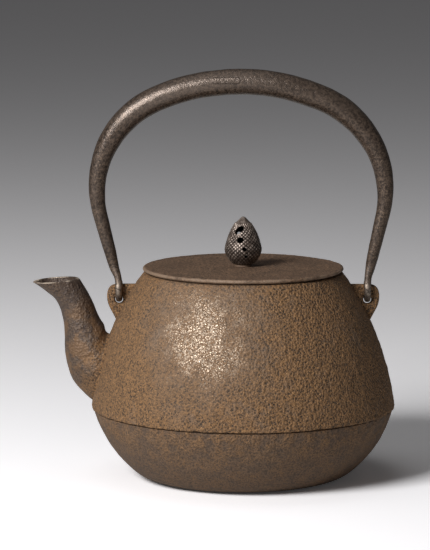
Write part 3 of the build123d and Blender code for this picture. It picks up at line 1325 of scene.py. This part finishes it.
    def lug(self, side: int) -> bpy.types.Object:
        """Build one lug.

        Args:
            side: -1 for the one beside the spout, 1 for the other.

        Returns:
            The lug, whose root reaches into the body.
        """
        outline = [(side * x, z) for x, z in rounded(self.lug_corners, 9)]
        obj = Bench.slab("lug", outline, self.lug_half)
        edges = {"limit_method": "ANGLE", "angle_limit": radians(60)}
        Bench.apply(obj, "BEVEL", width=self.lug_edge * MM, segments=4, **edges)
        return obj

    def lug_eye(self, side: int) -> bpy.types.Object:
        """Build the cutter for a lug's eye, which opens out at both faces.

        Args:
            side: -1 for the one beside the spout, 1 for the other.

        Returns:
            The cutter.
        """
        rows = [(-y, r) for y, r in self.eye_sections]
        rows += [(y, r) for y, r in reversed(self.eye_sections)]
        x, z = side * self.lug_hole[0], self.lug_hole[1]
        rings = [Ring((x, y, z), (pi / 2, 0.0, 0.0), r, r) for y, r in rows]
        return Bench.sweep("lug_eye", rings, self.eye_sides)

    def build(self) -> bpy.types.Object:
        """Join and cut the casting.

        Returns:
            The finished casting.
        """
        shell = self.outer()
        Bench.join(shell, self.spout.outside(), Joining.ADD)
        for side in (-1, 1):
            Bench.join(shell, self.lug(side), Joining.ADD)
        Bench.join(shell, self.cavity(), Joining.CUT)
        Bench.join(shell, self.spout.channel(), Joining.CUT)
        for side in (-1, 1):
            Bench.join(shell, self.lug_eye(side), Joining.CUT)
        shell.name = shell.data.name = "cast_kettle"
        Bench.smooth(shell, 50)
        return shell


@dataclass(frozen=True)
class Section:
    """A section of the bail: its centre, its half sizes, and the way its width runs."""

    centre: Vector
    wide: float
    deep: float
    across: Optional[Vector] = None


@dataclass
class ForgedBail:
    """The arched handle: two legs, two sides, a grip, and an open hook at each end."""

    hinge_z: float = 102.2
    hook_r: float = 5.8
    wire_r: float = 1.6
    wire_wide: float = 1.78
    hook_x: float = 67.2
    leg_start: float = 13.0
    neck: tuple[Row, ...] = (
        (6.3, 3.2, 0.12, 1.88, 1.55),
        (8.6, 1.9, 0.45, 2.2, 2.0),
        (10.9, 0.75, 0.83, 2.55, 2.5),
    )
    leg_foot_x: float = 66.4
    splay: float = 13.8
    side_arc: float = 54.5
    crown_arc: float = 113.0
    crown_z: float = 214.4
    lean_low: float = -0.4
    lean_high: float = -2.0
    step: float = 2.4
    sides: int = 32
    hook_end: float = 320.0
    hook_start: float = 44.0
    taper: tuple[Pair, ...] = (
        (6.0, 2.3),
        (13.0, 2.75),
        (20.0, 3.25),
        (34.0, 3.65),
        (52.0, 4.3),
        (72.0, 5.3),
        (90.0, 6.2),
        (112.0, 6.85),
        (140.0, 7.0),
        (170.0, 7.0),
    )

    def half_path(self) -> tuple[Callable[[float], Vector], float]:
        """Work out the right half of the arch.

        Returns:
            A function from the distance along it to a place, and its length.
        """
        splay = radians(self.splay)
        way = Vector((sin(splay), 0, cos(splay)))
        inward = Vector((-cos(splay), 0, sin(splay)))
        foot = Vector((self.leg_foot_x, 0, self.hinge_z))
        crown = Vector((0, 0, self.crown_z - self.crown_arc))
        start = foot + inward * self.side_arc - crown
        half = start.dot(way)
        gap = self.crown_arc - self.side_arc
        leg = sqrt(half ** 2 - start.length_squared + gap ** 2) - half
        side = foot + way * leg + inward * self.side_arc
        side_end = atan2(side.z - crown.z, side.x)
        side_length = self.side_arc * (side_end + splay)
        length = leg + side_length + self.crown_arc * (pi / 2 - side_end)

        def place(distance: float) -> Vector:
            """Give the place on the arch, with its lean towards the spout.

            Args:
                distance: how far along the arch it is.

            Returns:
                The place.
            """
            if distance <= leg:
                point = foot + way * distance
            elif distance <= leg + side_length:
                angle = (distance - leg) / self.side_arc - splay
                point = side + Vector((cos(angle), 0, sin(angle))) * self.side_arc
            else:
                angle = side_end + (distance - leg - side_length) / self.crown_arc
                point = crown + Vector((cos(angle), 0, sin(angle))) * self.crown_arc
            point.x += self.lean(point.z)
            return point

        return place, length

    def hook(self, side: int) -> list[Section]:
        """Bend the wire from its tip behind, through the eye and up the front, to the leg.

        Args:
            side: -1 for the hook beside the spout, 1 for the other.

        Returns:
            The sections from the tip to where the leg starts.
        """
        x, across = side * self.hook_x, Vector((-side, 0, 0))
        points = []
        angle = self.hook_end
        while angle > self.hook_start:
            turn = radians(angle)
            centre = Vector((x, -self.hook_r * sin(turn), self.hinge_z + self.hook_r * cos(turn)))
            tip = 0.35 + 0.65 * fade(angle, self.hook_end, self.hook_end - 22)
            wide = self.wire_wide + 0.18 * fade(angle, 95.0, 62.0)
            points.append(Section(centre, wide * tip, self.wire_r * tip, across))
            angle -= 11.0 if angle < self.hook_end - 30 else 6.0
        place = self.half_path()[0]
        foot = place(self.leg_start)
        foot = foot if side > 0 else self.mirrored(foot)
        for rise, forward, share, wide, deep in self.neck:
            centre = Vector((x + (foot.x - x) * share, -forward, self.hinge_z + rise))
            points.append(Section(centre, wide, deep, across))
        return points

    def lean(self, height: float) -> float:
        """Say how far the arch's middle is off to the side at a height."""
        share = (height - self.hinge_z) / (self.crown_z - self.hinge_z)
        return self.lean_low + (self.lean_high - self.lean_low) * share

    def mirrored(self, point: Vector) -> Vector:
        """Take a place on the right half to the left half, with the lean kept."""
        return Vector((2 * self.lean(point.z) - point.x, point.y, point.z))

    def path(self) -> list[Section]:
        """String the whole bail together, from the left hook's tip to the right one's.

        Returns:
            The sections in order.
        """
        place, length = self.half_path()
        count = ceil((length - self.leg_start) / self.step)
        span = length - self.leg_start
        distances = [self.leg_start + span * i / count for i in range(count + 1)]
        half = [(place(d), smooth_value(self.taper, d)[0]) for d in distances]
        left = self.hook(-1) + [Section(self.mirrored(p), r, r) for p, r in half]
        right = self.hook(1) + [Section(p, r, r) for p, r in half]
        return left + right[-2::-1]

    def build(self) -> bpy.types.Object:
        """Sweep the bail and work its surface.

        Returns:
            The finished bail.
        """
        points = self.path()
        rings = []
        for i, section in enumerate(points):
            ahead = points[min(len(points) - 1, i + 1)].centre - points[max(0, i - 1)].centre
            ahead.normalize()
            across = section.across or Vector((0, 1, 0)).cross(ahead)
            across = (across - ahead * across.dot(ahead)).normalized()
            turn = Matrix((across, ahead.cross(across), ahead)).transposed().to_euler()
            rings.append(Ring(tuple(section.centre), tuple(turn), section.wide, section.deep))
        obj = Bench.sweep("forged_bail", rings, self.sides)
        Bench.subdivide(obj)

        def forged(p: Vector) -> float:
            """Leave the hooks true."""
            return fade(p.z, 112.0, 124.0)

        Bench.work(obj, forged, Unevenness(16.0, 0.55), Unevenness(5.0, 0.22))
        Bench.smooth(obj, 60)
        return obj


@dataclass
class Cover:
    """The lid with its knob, the collar between them, and the rivet and washer that hold it."""

    lid_r: float = 54.3
    lid_low: float = 111.9
    lid_top: float = 114.4
    mouth_z: float = 111.5
    seat_r: float = 51.5
    skirt_out: float = 40.7
    skirt_wall: float = 2.4
    skirt_z: float = 103.5
    hole_r: float = 2.1
    collar_r: float = 4.9
    foot_z: float = 115.6
    knob_r: float = 9.8
    knob_waist: float = 8.4
    knob_height: float = 25.8
    knob_foot_r: float = 5.4
    knob_wall: float = 1.5
    knob_floor: float = 2.2
    foot_slim: float = 1.0
    tip_slim: float = 0.75
    tip_r: float = 0.7
    scales_round: int = 25
    scale_rows: int = 9
    scale_top: float = 23.2
    scale_inset: float = 0.16
    scale_rise: float = 0.50
    scale_jitter: float = 0.16
    scale_droop: float = 0.10
    scale_seed: int = 5
    crown_height: float = 0.40
    tip_crown: float = 0.7
    collar_sides: int = 72
    hollow_sides: int = 48
    bore_sides: int = 32
    piercing_sides: int = 18
    rivet_sides: int = 40
    washer_sides: int = 64
    rivet_r: float = 2.0
    head_r: float = 3.4
    head_rise: float = 1.3
    washer_r: float = 7.0
    washer_thickness: float = 1.0
    lid_sides: int = 300
    piercings: tuple[Row, ...] = (
        (20.0, 19.2, 5.2, 3.0, 45.0),
        (11.0, 14.0, 3.4, 2.8, 10.0),
        (-4.0, 9.2, 2.4, 2.0, -30.0),
        (-10.0, 5.2, 1.9, 1.6, -20.0),
        (-13.0, 7.0, 0.9, 0.9, 0.0),
        (168.0, 15.0, 4.4, 2.2, 40.0),
        (190.0, 9.0, 3.2, 2.2, -25.0),
    )

    def lid(self) -> bpy.types.Object:
        """Turn the lid, with a faintly raised edge, and work its skin.

        Returns:
            The lid.
        """
        edge = self.lid_r
        top = straight((self.hole_r, self.lid_top), (edge - 3.4, self.lid_top - 0.12), 0.95)
        outline = [(self.hole_r, self.lid_top)] + top
        outline += [
            (edge - 2.6, self.lid_top - 0.02),
            (edge - 1.6, self.lid_top),
            (edge - 0.8, self.lid_top - 0.12),
            (edge - 0.25, self.lid_top - 0.5),
            (edge, self.lid_top - 1.1),
            (edge - 0.15, self.lid_top - 1.5),
            (edge - 0.7, self.lid_top - 1.95),
            (edge - 1.7, self.lid_low + 0.12),
            (edge - 2.3, self.lid_low),
            (self.seat_r, self.lid_low),
            (self.seat_r, self.mouth_z),
            (self.skirt_out, self.mouth_z),
            (self.skirt_out, self.skirt_z + 0.4),
            (self.skirt_out - 0.4, self.skirt_z),
            (self.skirt_out - self.skirt_wall + 0.4, self.skirt_z),
            (self.skirt_out - self.skirt_wall, self.skirt_z + 0.4),
            (self.skirt_out - self.skirt_wall, self.mouth_z),
        ]
        outline += straight(outline[-1], (self.hole_r, self.mouth_z), 3.0)
        obj = Bench.lathe("iron_lid", outline, self.lid_sides, closed=True)

        def top_only(p: Vector) -> float:
            """Work the top and the edge, but not under the collar."""
            radius = sqrt(p.x ** 2 + p.y ** 2)
            return fade(p.z, 112.2, 113.4) * fade(radius, 5.2, 8.0)

        layers = (Unevenness(34.0, 0.5), Unevenness(7.0, 0.22), Unevenness(2.2, 0.16))
        Bench.work(obj, top_only, *layers)
        Bench.smooth(obj, 50)
        return obj

    def collar(self) -> bpy.types.Object:
        """Turn the small domed collar under the knob.

        Returns:
            The collar.
        """
        corners = [
            (self.hole_r, self.lid_top, 0.1),
            (self.collar_r, self.lid_top, 0.3),
            (self.collar_r - 0.5, self.foot_z, 0.6),
            (self.hole_r, self.foot_z, 0.1),
        ]
        return Bench.turned("domed_collar", corners, self.collar_sides)

    def flattening(self, height: float) -> float:
        """Say how much slimmer than two plain arcs the bud is.

        Args:
            height: height above the bud's foot.

        Returns:
            How much its radius loses.
        """
        if height < self.knob_waist:
            return self.foot_slim * (1 - height / self.knob_waist) ** 1.5
        share = (height - self.knob_waist) / (self.knob_height - self.knob_waist)
        return self.tip_slim * sin(pi * share)

    def bud_outline(self, inset: float, rows: int, low: float, top: float) -> Outline:
        """Draw the bud's half outline.

        Args:
            inset: how far inside the outer surface the line runs.
            rows: how many steps the line has.
            low: height of its foot above the bud's foot.
            top: height of its tip.

        Returns:
            The points from the axis at the foot to the axis at the tip.
        """
        waist = self.knob_waist
        widest, foot_r = self.knob_r - inset, self.knob_foot_r - inset
        tip = self.tip_r if not inset else 0.2
        points = [(0.0, self.foot_z + low), (foot_r * 0.6, self.foot_z + low)]
        low_arc = ((widest - foot_r) ** 2 + (waist - low) ** 2) / (2 * (widest - foot_r))
        high_arc = ((widest - tip) ** 2 + (top - waist) ** 2) / (2 * (widest - tip))
        for i in range(rows + 1):
            height = low + (top - low) * (1 - (1 - i / rows) ** 1.12)
            if height < waist:
                radius = widest - low_arc + sqrt(low_arc ** 2 - (waist - height) ** 2)
            else:
                radius = widest - high_arc + sqrt(max(0.0, high_arc ** 2 - (height - waist) ** 2))
            if not inset:
                radius -= self.flattening(height)
            points.append((max(radius, tip), self.foot_z + height))
        points.append((0.0, self.foot_z + top))
        return points

    def piercing(self, row: Sequence[float]) -> bpy.types.Object:
        """Build the cutter for one pierced opening, which is oval and widens outwards.

        Args:
            row: (azimuth, height, length, width, slant).

        Returns:
            The cutter.
        """
        azimuth, height, length, width, slant = row
        turn, lean = radians(azimuth), radians(slant)
        facing = Vector((-sin(turn), -cos(turn), 0))
        rings = []
        for reach in (3.0, 7.0, 12.0):
            centre = facing * reach + Vector((0, 0, self.foot_z + height))
            spread = 1.0 + 0.012 * reach
            around = (pi / 2, -lean, -turn)
            rings.append(Ring(tuple(centre), around, length / 2 * spread, width / 2 * spread))
        return Bench.sweep("piercing", rings, self.piercing_sides)

    def raise_scales(self, obj: bpy.types.Object, low: float, top: float) -> None:
        """Turn a band of square faces into lozenges and raise a scale from each.

        Args:
            obj: the bud.
            low: where the band starts.
            top: where it ends.
        """
        bpy.ops.object.mode_set(mode="EDIT")
        Bench.pick_faces(lambda p: low < p.z < top)
        work = bmesh.from_edit_mesh(obj.data)
        for edge in work.edges:
            edge.seam = len(edge.link_faces) == 2 and all(f.select for f in edge.link_faces)
        bmesh.update_edit_mesh(obj.data)
        bpy.ops.mesh.poke()
        bpy.ops.mesh.select_mode(type="EDGE")
        bpy.ops.mesh.select_all(action="DESELECT")
        work = bmesh.from_edit_mesh(obj.data)
        for edge in work.edges:
            edge.select_set(edge.seam)
        bmesh.update_edit_mesh(obj.data)
        bpy.ops.mesh.dissolve_edges(use_verts=False)
        bpy.ops.mesh.select_mode(type="FACE")
        bpy.ops.mesh.select_all(action="DESELECT")
        work = bmesh.from_edit_mesh(obj.data)
        for face in work.faces:
            middle = face.calc_center_median() / MM
            face.select_set(len(face.verts) == 4 and low + 0.2 < middle.z < top - 0.2)
        bmesh.update_edit_mesh(obj.data)
        bpy.ops.transform.vertex_random(
            offset=self.scale_jitter * MM, uniform=0.6, seed=self.scale_seed
        )
        bpy.ops.mesh.inset(
            thickness=self.scale_inset * MM, depth=self.scale_rise * MM, use_individual=True
        )
        bpy.ops.transform.translate(value=(0, 0, -self.scale_droop * MM))
        Bench.weld()
        Bench.subdivide(obj)

    def knob(self) -> bpy.types.Object:
        """Build the hollow bud: raised scales from inset lozenges, then the openings.

        Returns:
            The bud.
        """
        outline = self.bud_outline(0.0, self.scale_rows + 5, 0.0, self.knob_height)
        obj = Bench.lathe("bud_knob", outline, self.scales_round)
        foot, low, top = self.foot_z, self.foot_z + 0.5, self.foot_z + self.scale_top
        self.raise_scales(obj, low, top)
        Bench.work(obj, lambda p: fade(p.z, low, low + 3), Unevenness(4.0, 0.3))
        inner_top = self.knob_height - 2 * self.knob_wall
        hollow = self.bud_outline(self.knob_wall, 24, self.knob_floor, inner_top)
        Bench.join(obj, Bench.lathe("bud_hollow", hollow, self.hollow_sides), Joining.CUT)
        bore = Bench.rod("bud_bore", self.hole_r, foot - 1.0, foot + 4.0, self.bore_sides)
        Bench.join(obj, bore, Joining.CUT)
        for row in self.piercings:
            Bench.join(obj, self.piercing(row), Joining.CUT)
        self.mark_crowns(obj)
        Bench.smooth(obj, 45)
        return obj

    def mark_crowns(self, obj: bpy.types.Object) -> None:
        """Write how far each point stands out of the bud's plain outline, 0 to 1.

        Args:
            obj: the bud.
        """
        outline = self.bud_outline(0.0, 60, 0.0, self.knob_height)
        crown = obj.data.attributes.new("crown", "FLOAT", "POINT")
        for vertex in obj.data.vertices:
            x, y, z = vertex.co / MM
            higher = (i for i, p in enumerate(outline) if i > 1 and p[1] >= z)
            above = next(higher, len(outline) - 1)
            (r0, z0), (r1, z1) = outline[above - 1], outline[above]
            plain = r0 + (r1 - r0) * (z - z0) / (z1 - z0) if z1 > z0 else r1
            smooth_tip = fade(z - self.foot_z, self.scale_top - 6.0, self.scale_top + 1.0)
            out = (sqrt(x * x + y * y) - plain) / self.crown_height
            out += (self.tip_crown - out) * smooth_tip
            crown.data[vertex.index].value = max(0.0, min(1.0, out))

    def rivet(self) -> bpy.types.Object:
        """Turn the rivet, with a domed head inside the bud and a peened one under the lid.

        Returns:
            The rivet.
        """
        low, high = self.mouth_z - self.washer_thickness, self.foot_z + self.knob_floor
        shank, head, rise = self.rivet_r, self.head_r, self.head_rise
        outline = [
            (0.0, low - rise),
            (head * 0.55, low - rise + 0.12),
            (head * 0.88, low - rise + 0.5),
            (head, low - 0.25),
            (head - 0.1, low),
            (shank, low),
            (shank, high),
            (head - 0.1, high),
            (head, high + 0.25),
            (head * 0.85, high + rise - 0.5),
            (head * 0.5, high + rise - 0.1),
            (0.0, high + rise),
        ]
        obj = Bench.lathe("lid_rivet", outline, self.rivet_sides)

        def heads(p: Vector) -> float:
            """Hammer only the outer faces of the heads."""
            return max(fade(p.z, low - 0.3, low - 0.8), fade(p.z, high + 0.3, high + 0.8))

        Bench.apply(obj, "BEVEL", width=0.08 * MM, segments=1, limit_method="ANGLE")
        Bench.work(obj, heads, Unevenness(1.6, 0.18))
        Bench.smooth(obj)
        return obj

    def washer(self) -> bpy.types.Object:
        """Turn the washer under the lid.

        Returns:
            The washer.
        """
        low, high = self.mouth_z - self.washer_thickness, self.mouth_z
        corners = [
            (self.hole_r, low, 0.15),
            (self.washer_r, low, 0.3),
            (self.washer_r, high, 0.1),
            (self.hole_r, high, 0.1),
        ]
        return Bench.turned("rivet_washer", corners, self.washer_sides)


@dataclass
class StrainerBasket:
    """The perforated basket that hangs in the mouth."""

    wall_out: float = 42.4
    sheet: float = 0.6
    flange_r: float = 46.6
    ledge_z: float = 109.5
    floor_z: float = 66.5
    flange: float = 1.0
    band_sheet: float = 0.8
    band_height: float = 5.0
    band_lip: float = 4.6
    columns: int = 72
    rows: int = 9
    margin: float = 4.6
    hole_inset: float = 0.85
    grid: int = 25
    grid_size: float = 92.0
    plain_edge: float = 7.0
    sides: int = 160
    disc_sides: int = 120

    def perforate(self, obj: bpy.types.Object, rule: Rule) -> None:
        """Open a hole in each face that meets a rule, round the holes and thicken the sheet.

        Args:
            obj: the sheet, in edit mode.
            rule: says for a face's middle, in millimetres, whether it gets a hole.
        """
        Bench.pick_faces(rule)
        bpy.ops.mesh.inset(thickness=self.hole_inset * MM, use_individual=True)
        bpy.ops.mesh.delete(type="FACE")
        bpy.ops.object.mode_set(mode="OBJECT")
        Bench.subdivide(obj)
        Bench.apply(obj, "SOLIDIFY", thickness=self.sheet * MM, offset=-1)

    def wall(self) -> bpy.types.Object:
        """Extrude a ring upwards and perforate it.

        Returns:
            The wall.
        """
        low, high = self.floor_z + self.sheet, self.ledge_z
        Bench.clear()
        bpy.ops.mesh.primitive_circle_add(vertices=self.columns, radius=self.wall_out * MM)
        obj = Bench.take_up("perforated_wall", "EDGE")
        bpy.ops.transform.translate(value=(0, 0, low * MM))
        pitch = (high - low - 2 * self.margin) / self.rows
        for rise in [self.margin] + [pitch] * self.rows + [self.margin]:
            bpy.ops.mesh.extrude_region_move(TRANSFORM_OT_translate={"value": (0, 0, rise * MM)})
        bpy.ops.mesh.select_all(action="SELECT")
        bpy.ops.mesh.normals_make_consistent(inside=False)
        self.perforate(obj, lambda p: low + self.margin < p.z < high - self.margin)
        Bench.smooth(obj)
        return obj

    def floor(self) -> bpy.types.Object:
        """Perforate a square sheet and cut it round.

        Returns:
            The floor.
        """
        Bench.clear()
        bpy.ops.mesh.primitive_grid_add(
            x_subdivisions=self.grid, y_subdivisions=self.grid, size=self.grid_size * MM
        )
        obj = Bench.take_up("perforated_floor")
        bpy.ops.transform.translate(value=(0, 0, (self.floor_z + self.sheet) * MM))
        reach = self.wall_out - self.plain_edge
        self.perforate(obj, lambda p: p.x ** 2 + p.y ** 2 < reach ** 2)
        low, high = self.floor_z - 3.0, self.floor_z + 3.0
        disc = Bench.rod("round", self.wall_out, low, high, self.disc_sides)
        Bench.join(obj, disc, Joining.KEEP_COMMON)
        Bench.smooth(obj)
        return obj

    def rim(self) -> bpy.types.Object:
        """Turn the flange with the band below it.

        Returns:
            The rim.
        """
        out, wall_in, low = self.wall_out, self.wall_out - self.sheet, self.ledge_z
        corners = [
            (wall_in, low, 0.1),
            (out, low, 0.0),
            (out, low - self.band_height, 0.15),
            (out + self.band_sheet, low - self.band_height, 0.3),
            (out + self.band_sheet, low, 0.2),
            (self.flange_r, low, 0.35),
            (self.flange_r, low + self.flange, 0.4),
            (wall_in, low + self.flange, 0.4),
        ]
        return Bench.turned("basket_rim", corners, self.sides)

    def band(self) -> bpy.types.Object:
        """Turn the band that joins wall and floor.

        Returns:
            The band.
        """
        out, low, high = self.wall_out, self.floor_z, self.floor_z + self.band_height
        corners = [
            (out - self.band_lip, low - self.band_sheet, 0.3),
            (out + self.band_sheet, low - self.band_sheet, 0.7),
            (out + self.band_sheet, high, 0.3),
            (out, high, 0.15),
            (out, low, 0.0),
            (out - self.band_lip, low, 0.2),
        ]
        return Bench.turned("basket_band", corners, self.sides)


# ---------------------------------------------------------------- the room


@dataclass(frozen=True)
class Lamp:
    """A soft rectangular lamp: its place and size in metres, and its power in watts."""

    name: str
    place: Triple
    size: Pair
    energy: float


@dataclass
class Studio:
    """A pale floor that the lamps leave darker away from the camera, soft lamps and the camera."""

    floor_size: Pair = (10.0, 12.0)
    floor_place: Triple = (0.0, 3.0, -0.0004)
    floor_bounce: Colour = (0.80, 0.79, 0.78)
    floor_seen: Colour = (1.31, 1.295, 1.315)
    glow_tint: Colour = (1.0, 0.96, 0.96)
    glow: float = 0.027
    air: Colour = (0.5, 0.5, 0.51)
    air_light: float = 0.08
    air_seen: float = 0.17
    aim: Triple = (0.0, 0.0, 0.09)
    lamps: tuple[Lamp, ...] = (
        Lamp("key_lamp", (-0.76, -0.95, 0.84), (0.56, 0.50), 22.2),
        Lamp("top_lamp", (-0.25, 0.10, 1.30), (0.9, 0.9), 1.7),
        Lamp("fill_lamp", (1.20, -1.20, 0.50), (0.8, 0.8), 0.4),
    )
    camera_place: Triple = (0.0, -1.750, 0.3582)
    camera_tilt: float = 81.913
    camera_turn: float = 0.499
    lens: float = 213.7
    film_height: float = 36.0

    def floor(self) -> None:
        """Lay the floor, which the camera sees with its own light and with the shadow on it."""
        Bench.clear()
        bpy.ops.mesh.primitive_plane_add(size=1)
        obj = Bench.take_up("studio_floor")
        bpy.ops.transform.resize(value=(*self.floor_size, 1))
        bpy.ops.transform.translate(value=self.floor_place)
        bpy.ops.object.mode_set(mode="OBJECT")
        g = Graph("studio_floor")
        diffuse = g.take("ShaderNodeBsdfDiffuse", {"Color": self.floor_bounce})
        own = g.take("ShaderNodeEmission", {"Color": self.glow_tint, "Strength": self.glow})
        lit = g.take("ShaderNodeBsdfDiffuse", {"Color": self.floor_seen})
        seen = g.take("ShaderNodeAddShader", {0: own, 1: lit})
        to_camera = g.take("ShaderNodeLightPath", output="Is Camera Ray")
        shader = g.take("ShaderNodeMixShader", {0: to_camera, 1: diffuse, 2: seen})
        g.add("ShaderNodeOutputMaterial", {0: shader})
        obj.data.materials.append(g.material)

    def hang(self, lamp: Lamp) -> None:
        """Hang a lamp so that it faces the kettle.

        Args:
            lamp: where it hangs, how large it is and how bright.
        """
        Bench.clear()
        place = Vector(lamp.place)
        turn = (Vector(self.aim) - place).to_track_quat("-Z", "Y").to_euler()
        bpy.ops.object.light_add(type="AREA", location=place, rotation=turn)
        obj = bpy.context.object
        obj.name = obj.data.name = lamp.name
        obj.data.shape = "RECTANGLE"
        obj.data.size, obj.data.size_y = lamp.size
        obj.data.energy = lamp.energy

    def camera(self) -> None:
        """Set up the camera: a long lens, a little above the kettle."""
        Bench.clear()
        rotation = (radians(self.camera_tilt), 0, radians(self.camera_turn))
        bpy.ops.object.camera_add(location=self.camera_place, rotation=rotation)
        camera = bpy.context.object
        camera.name = camera.data.name = "front_camera"
        camera.data.sensor_fit = "VERTICAL"
        camera.data.sensor_height = self.film_height
        camera.data.lens = self.lens
        bpy.context.scene.camera = camera

    def surroundings(self) -> None:
        """Give the air one strength as a light and another as the camera and gloss see it."""
        world = bpy.data.worlds.new("studio_air")
        world.use_nodes = True
        nodes, link = world.node_tree.nodes, world.node_tree.links.new
        air = nodes["Background"]
        air.inputs["Color"].default_value = (*self.air, 1)
        path = nodes.new("ShaderNodeLightPath")
        seen = nodes.new("ShaderNodeMath")
        seen.operation = "MAXIMUM"
        strength = nodes.new("ShaderNodeMapRange")
        strength.inputs["To Min"].default_value = self.air_light
        strength.inputs["To Max"].default_value = self.air_seen
        link(path.outputs["Is Camera Ray"], seen.inputs[0])
        link(path.outputs["Is Glossy Ray"], seen.inputs[1])
        link(seen.outputs[0], strength.inputs["Value"])
        link(strength.outputs[0], air.inputs["Strength"])
        bpy.context.scene.world = world

    def build(self) -> None:
        """Set up the whole room."""
        self.floor()
        for lamp in self.lamps:
            self.hang(lamp)
        self.camera()
        self.surroundings()
        bpy.context.scene.view_settings.view_transform = "Standard"


def main() -> None:
    """Build every piece in order."""
    logging.basicConfig(level=logging.INFO, format="%(message)s")
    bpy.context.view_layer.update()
    cover, basket = Cover(), StrainerBasket()
    pieces = (
        (KettleShell(Spout()).build, RustedIron(), Body.KETTLE, "kettle_body"),
        (ForgedBail().build, ForgedIron(), Body.HANDLE, "bail"),
        (cover.lid, LidIron(), Body.COVER, "lid"),
        (cover.collar, KnobMetal(), Body.COVER, "knob_collar"),
        (cover.knob, KnobMetal(), Body.COVER, "lid_knob"),
        (cover.rivet, RivetIron(), Body.COVER, "knob_rivet"),
        (cover.washer, RivetIron(), Body.COVER, "lid_washer"),
        (basket.rim, StrainerSteel(), Body.BASKET, "infuser_rim"),
        (basket.wall, StrainerSteel(), Body.BASKET, "infuser_wall"),
        (basket.band, StrainerSteel(), Body.BASKET, "infuser_band"),
        (basket.floor, StrainerSteel(), Body.BASKET, "infuser_floor"),
    )
    wardrobe = Wardrobe()
    for build, finish, body, node in pieces:
        wardrobe.dress(build(), finish, body, node)

    Studio().build()
    Bench.clear()


if __name__ == "__main__":
    main()
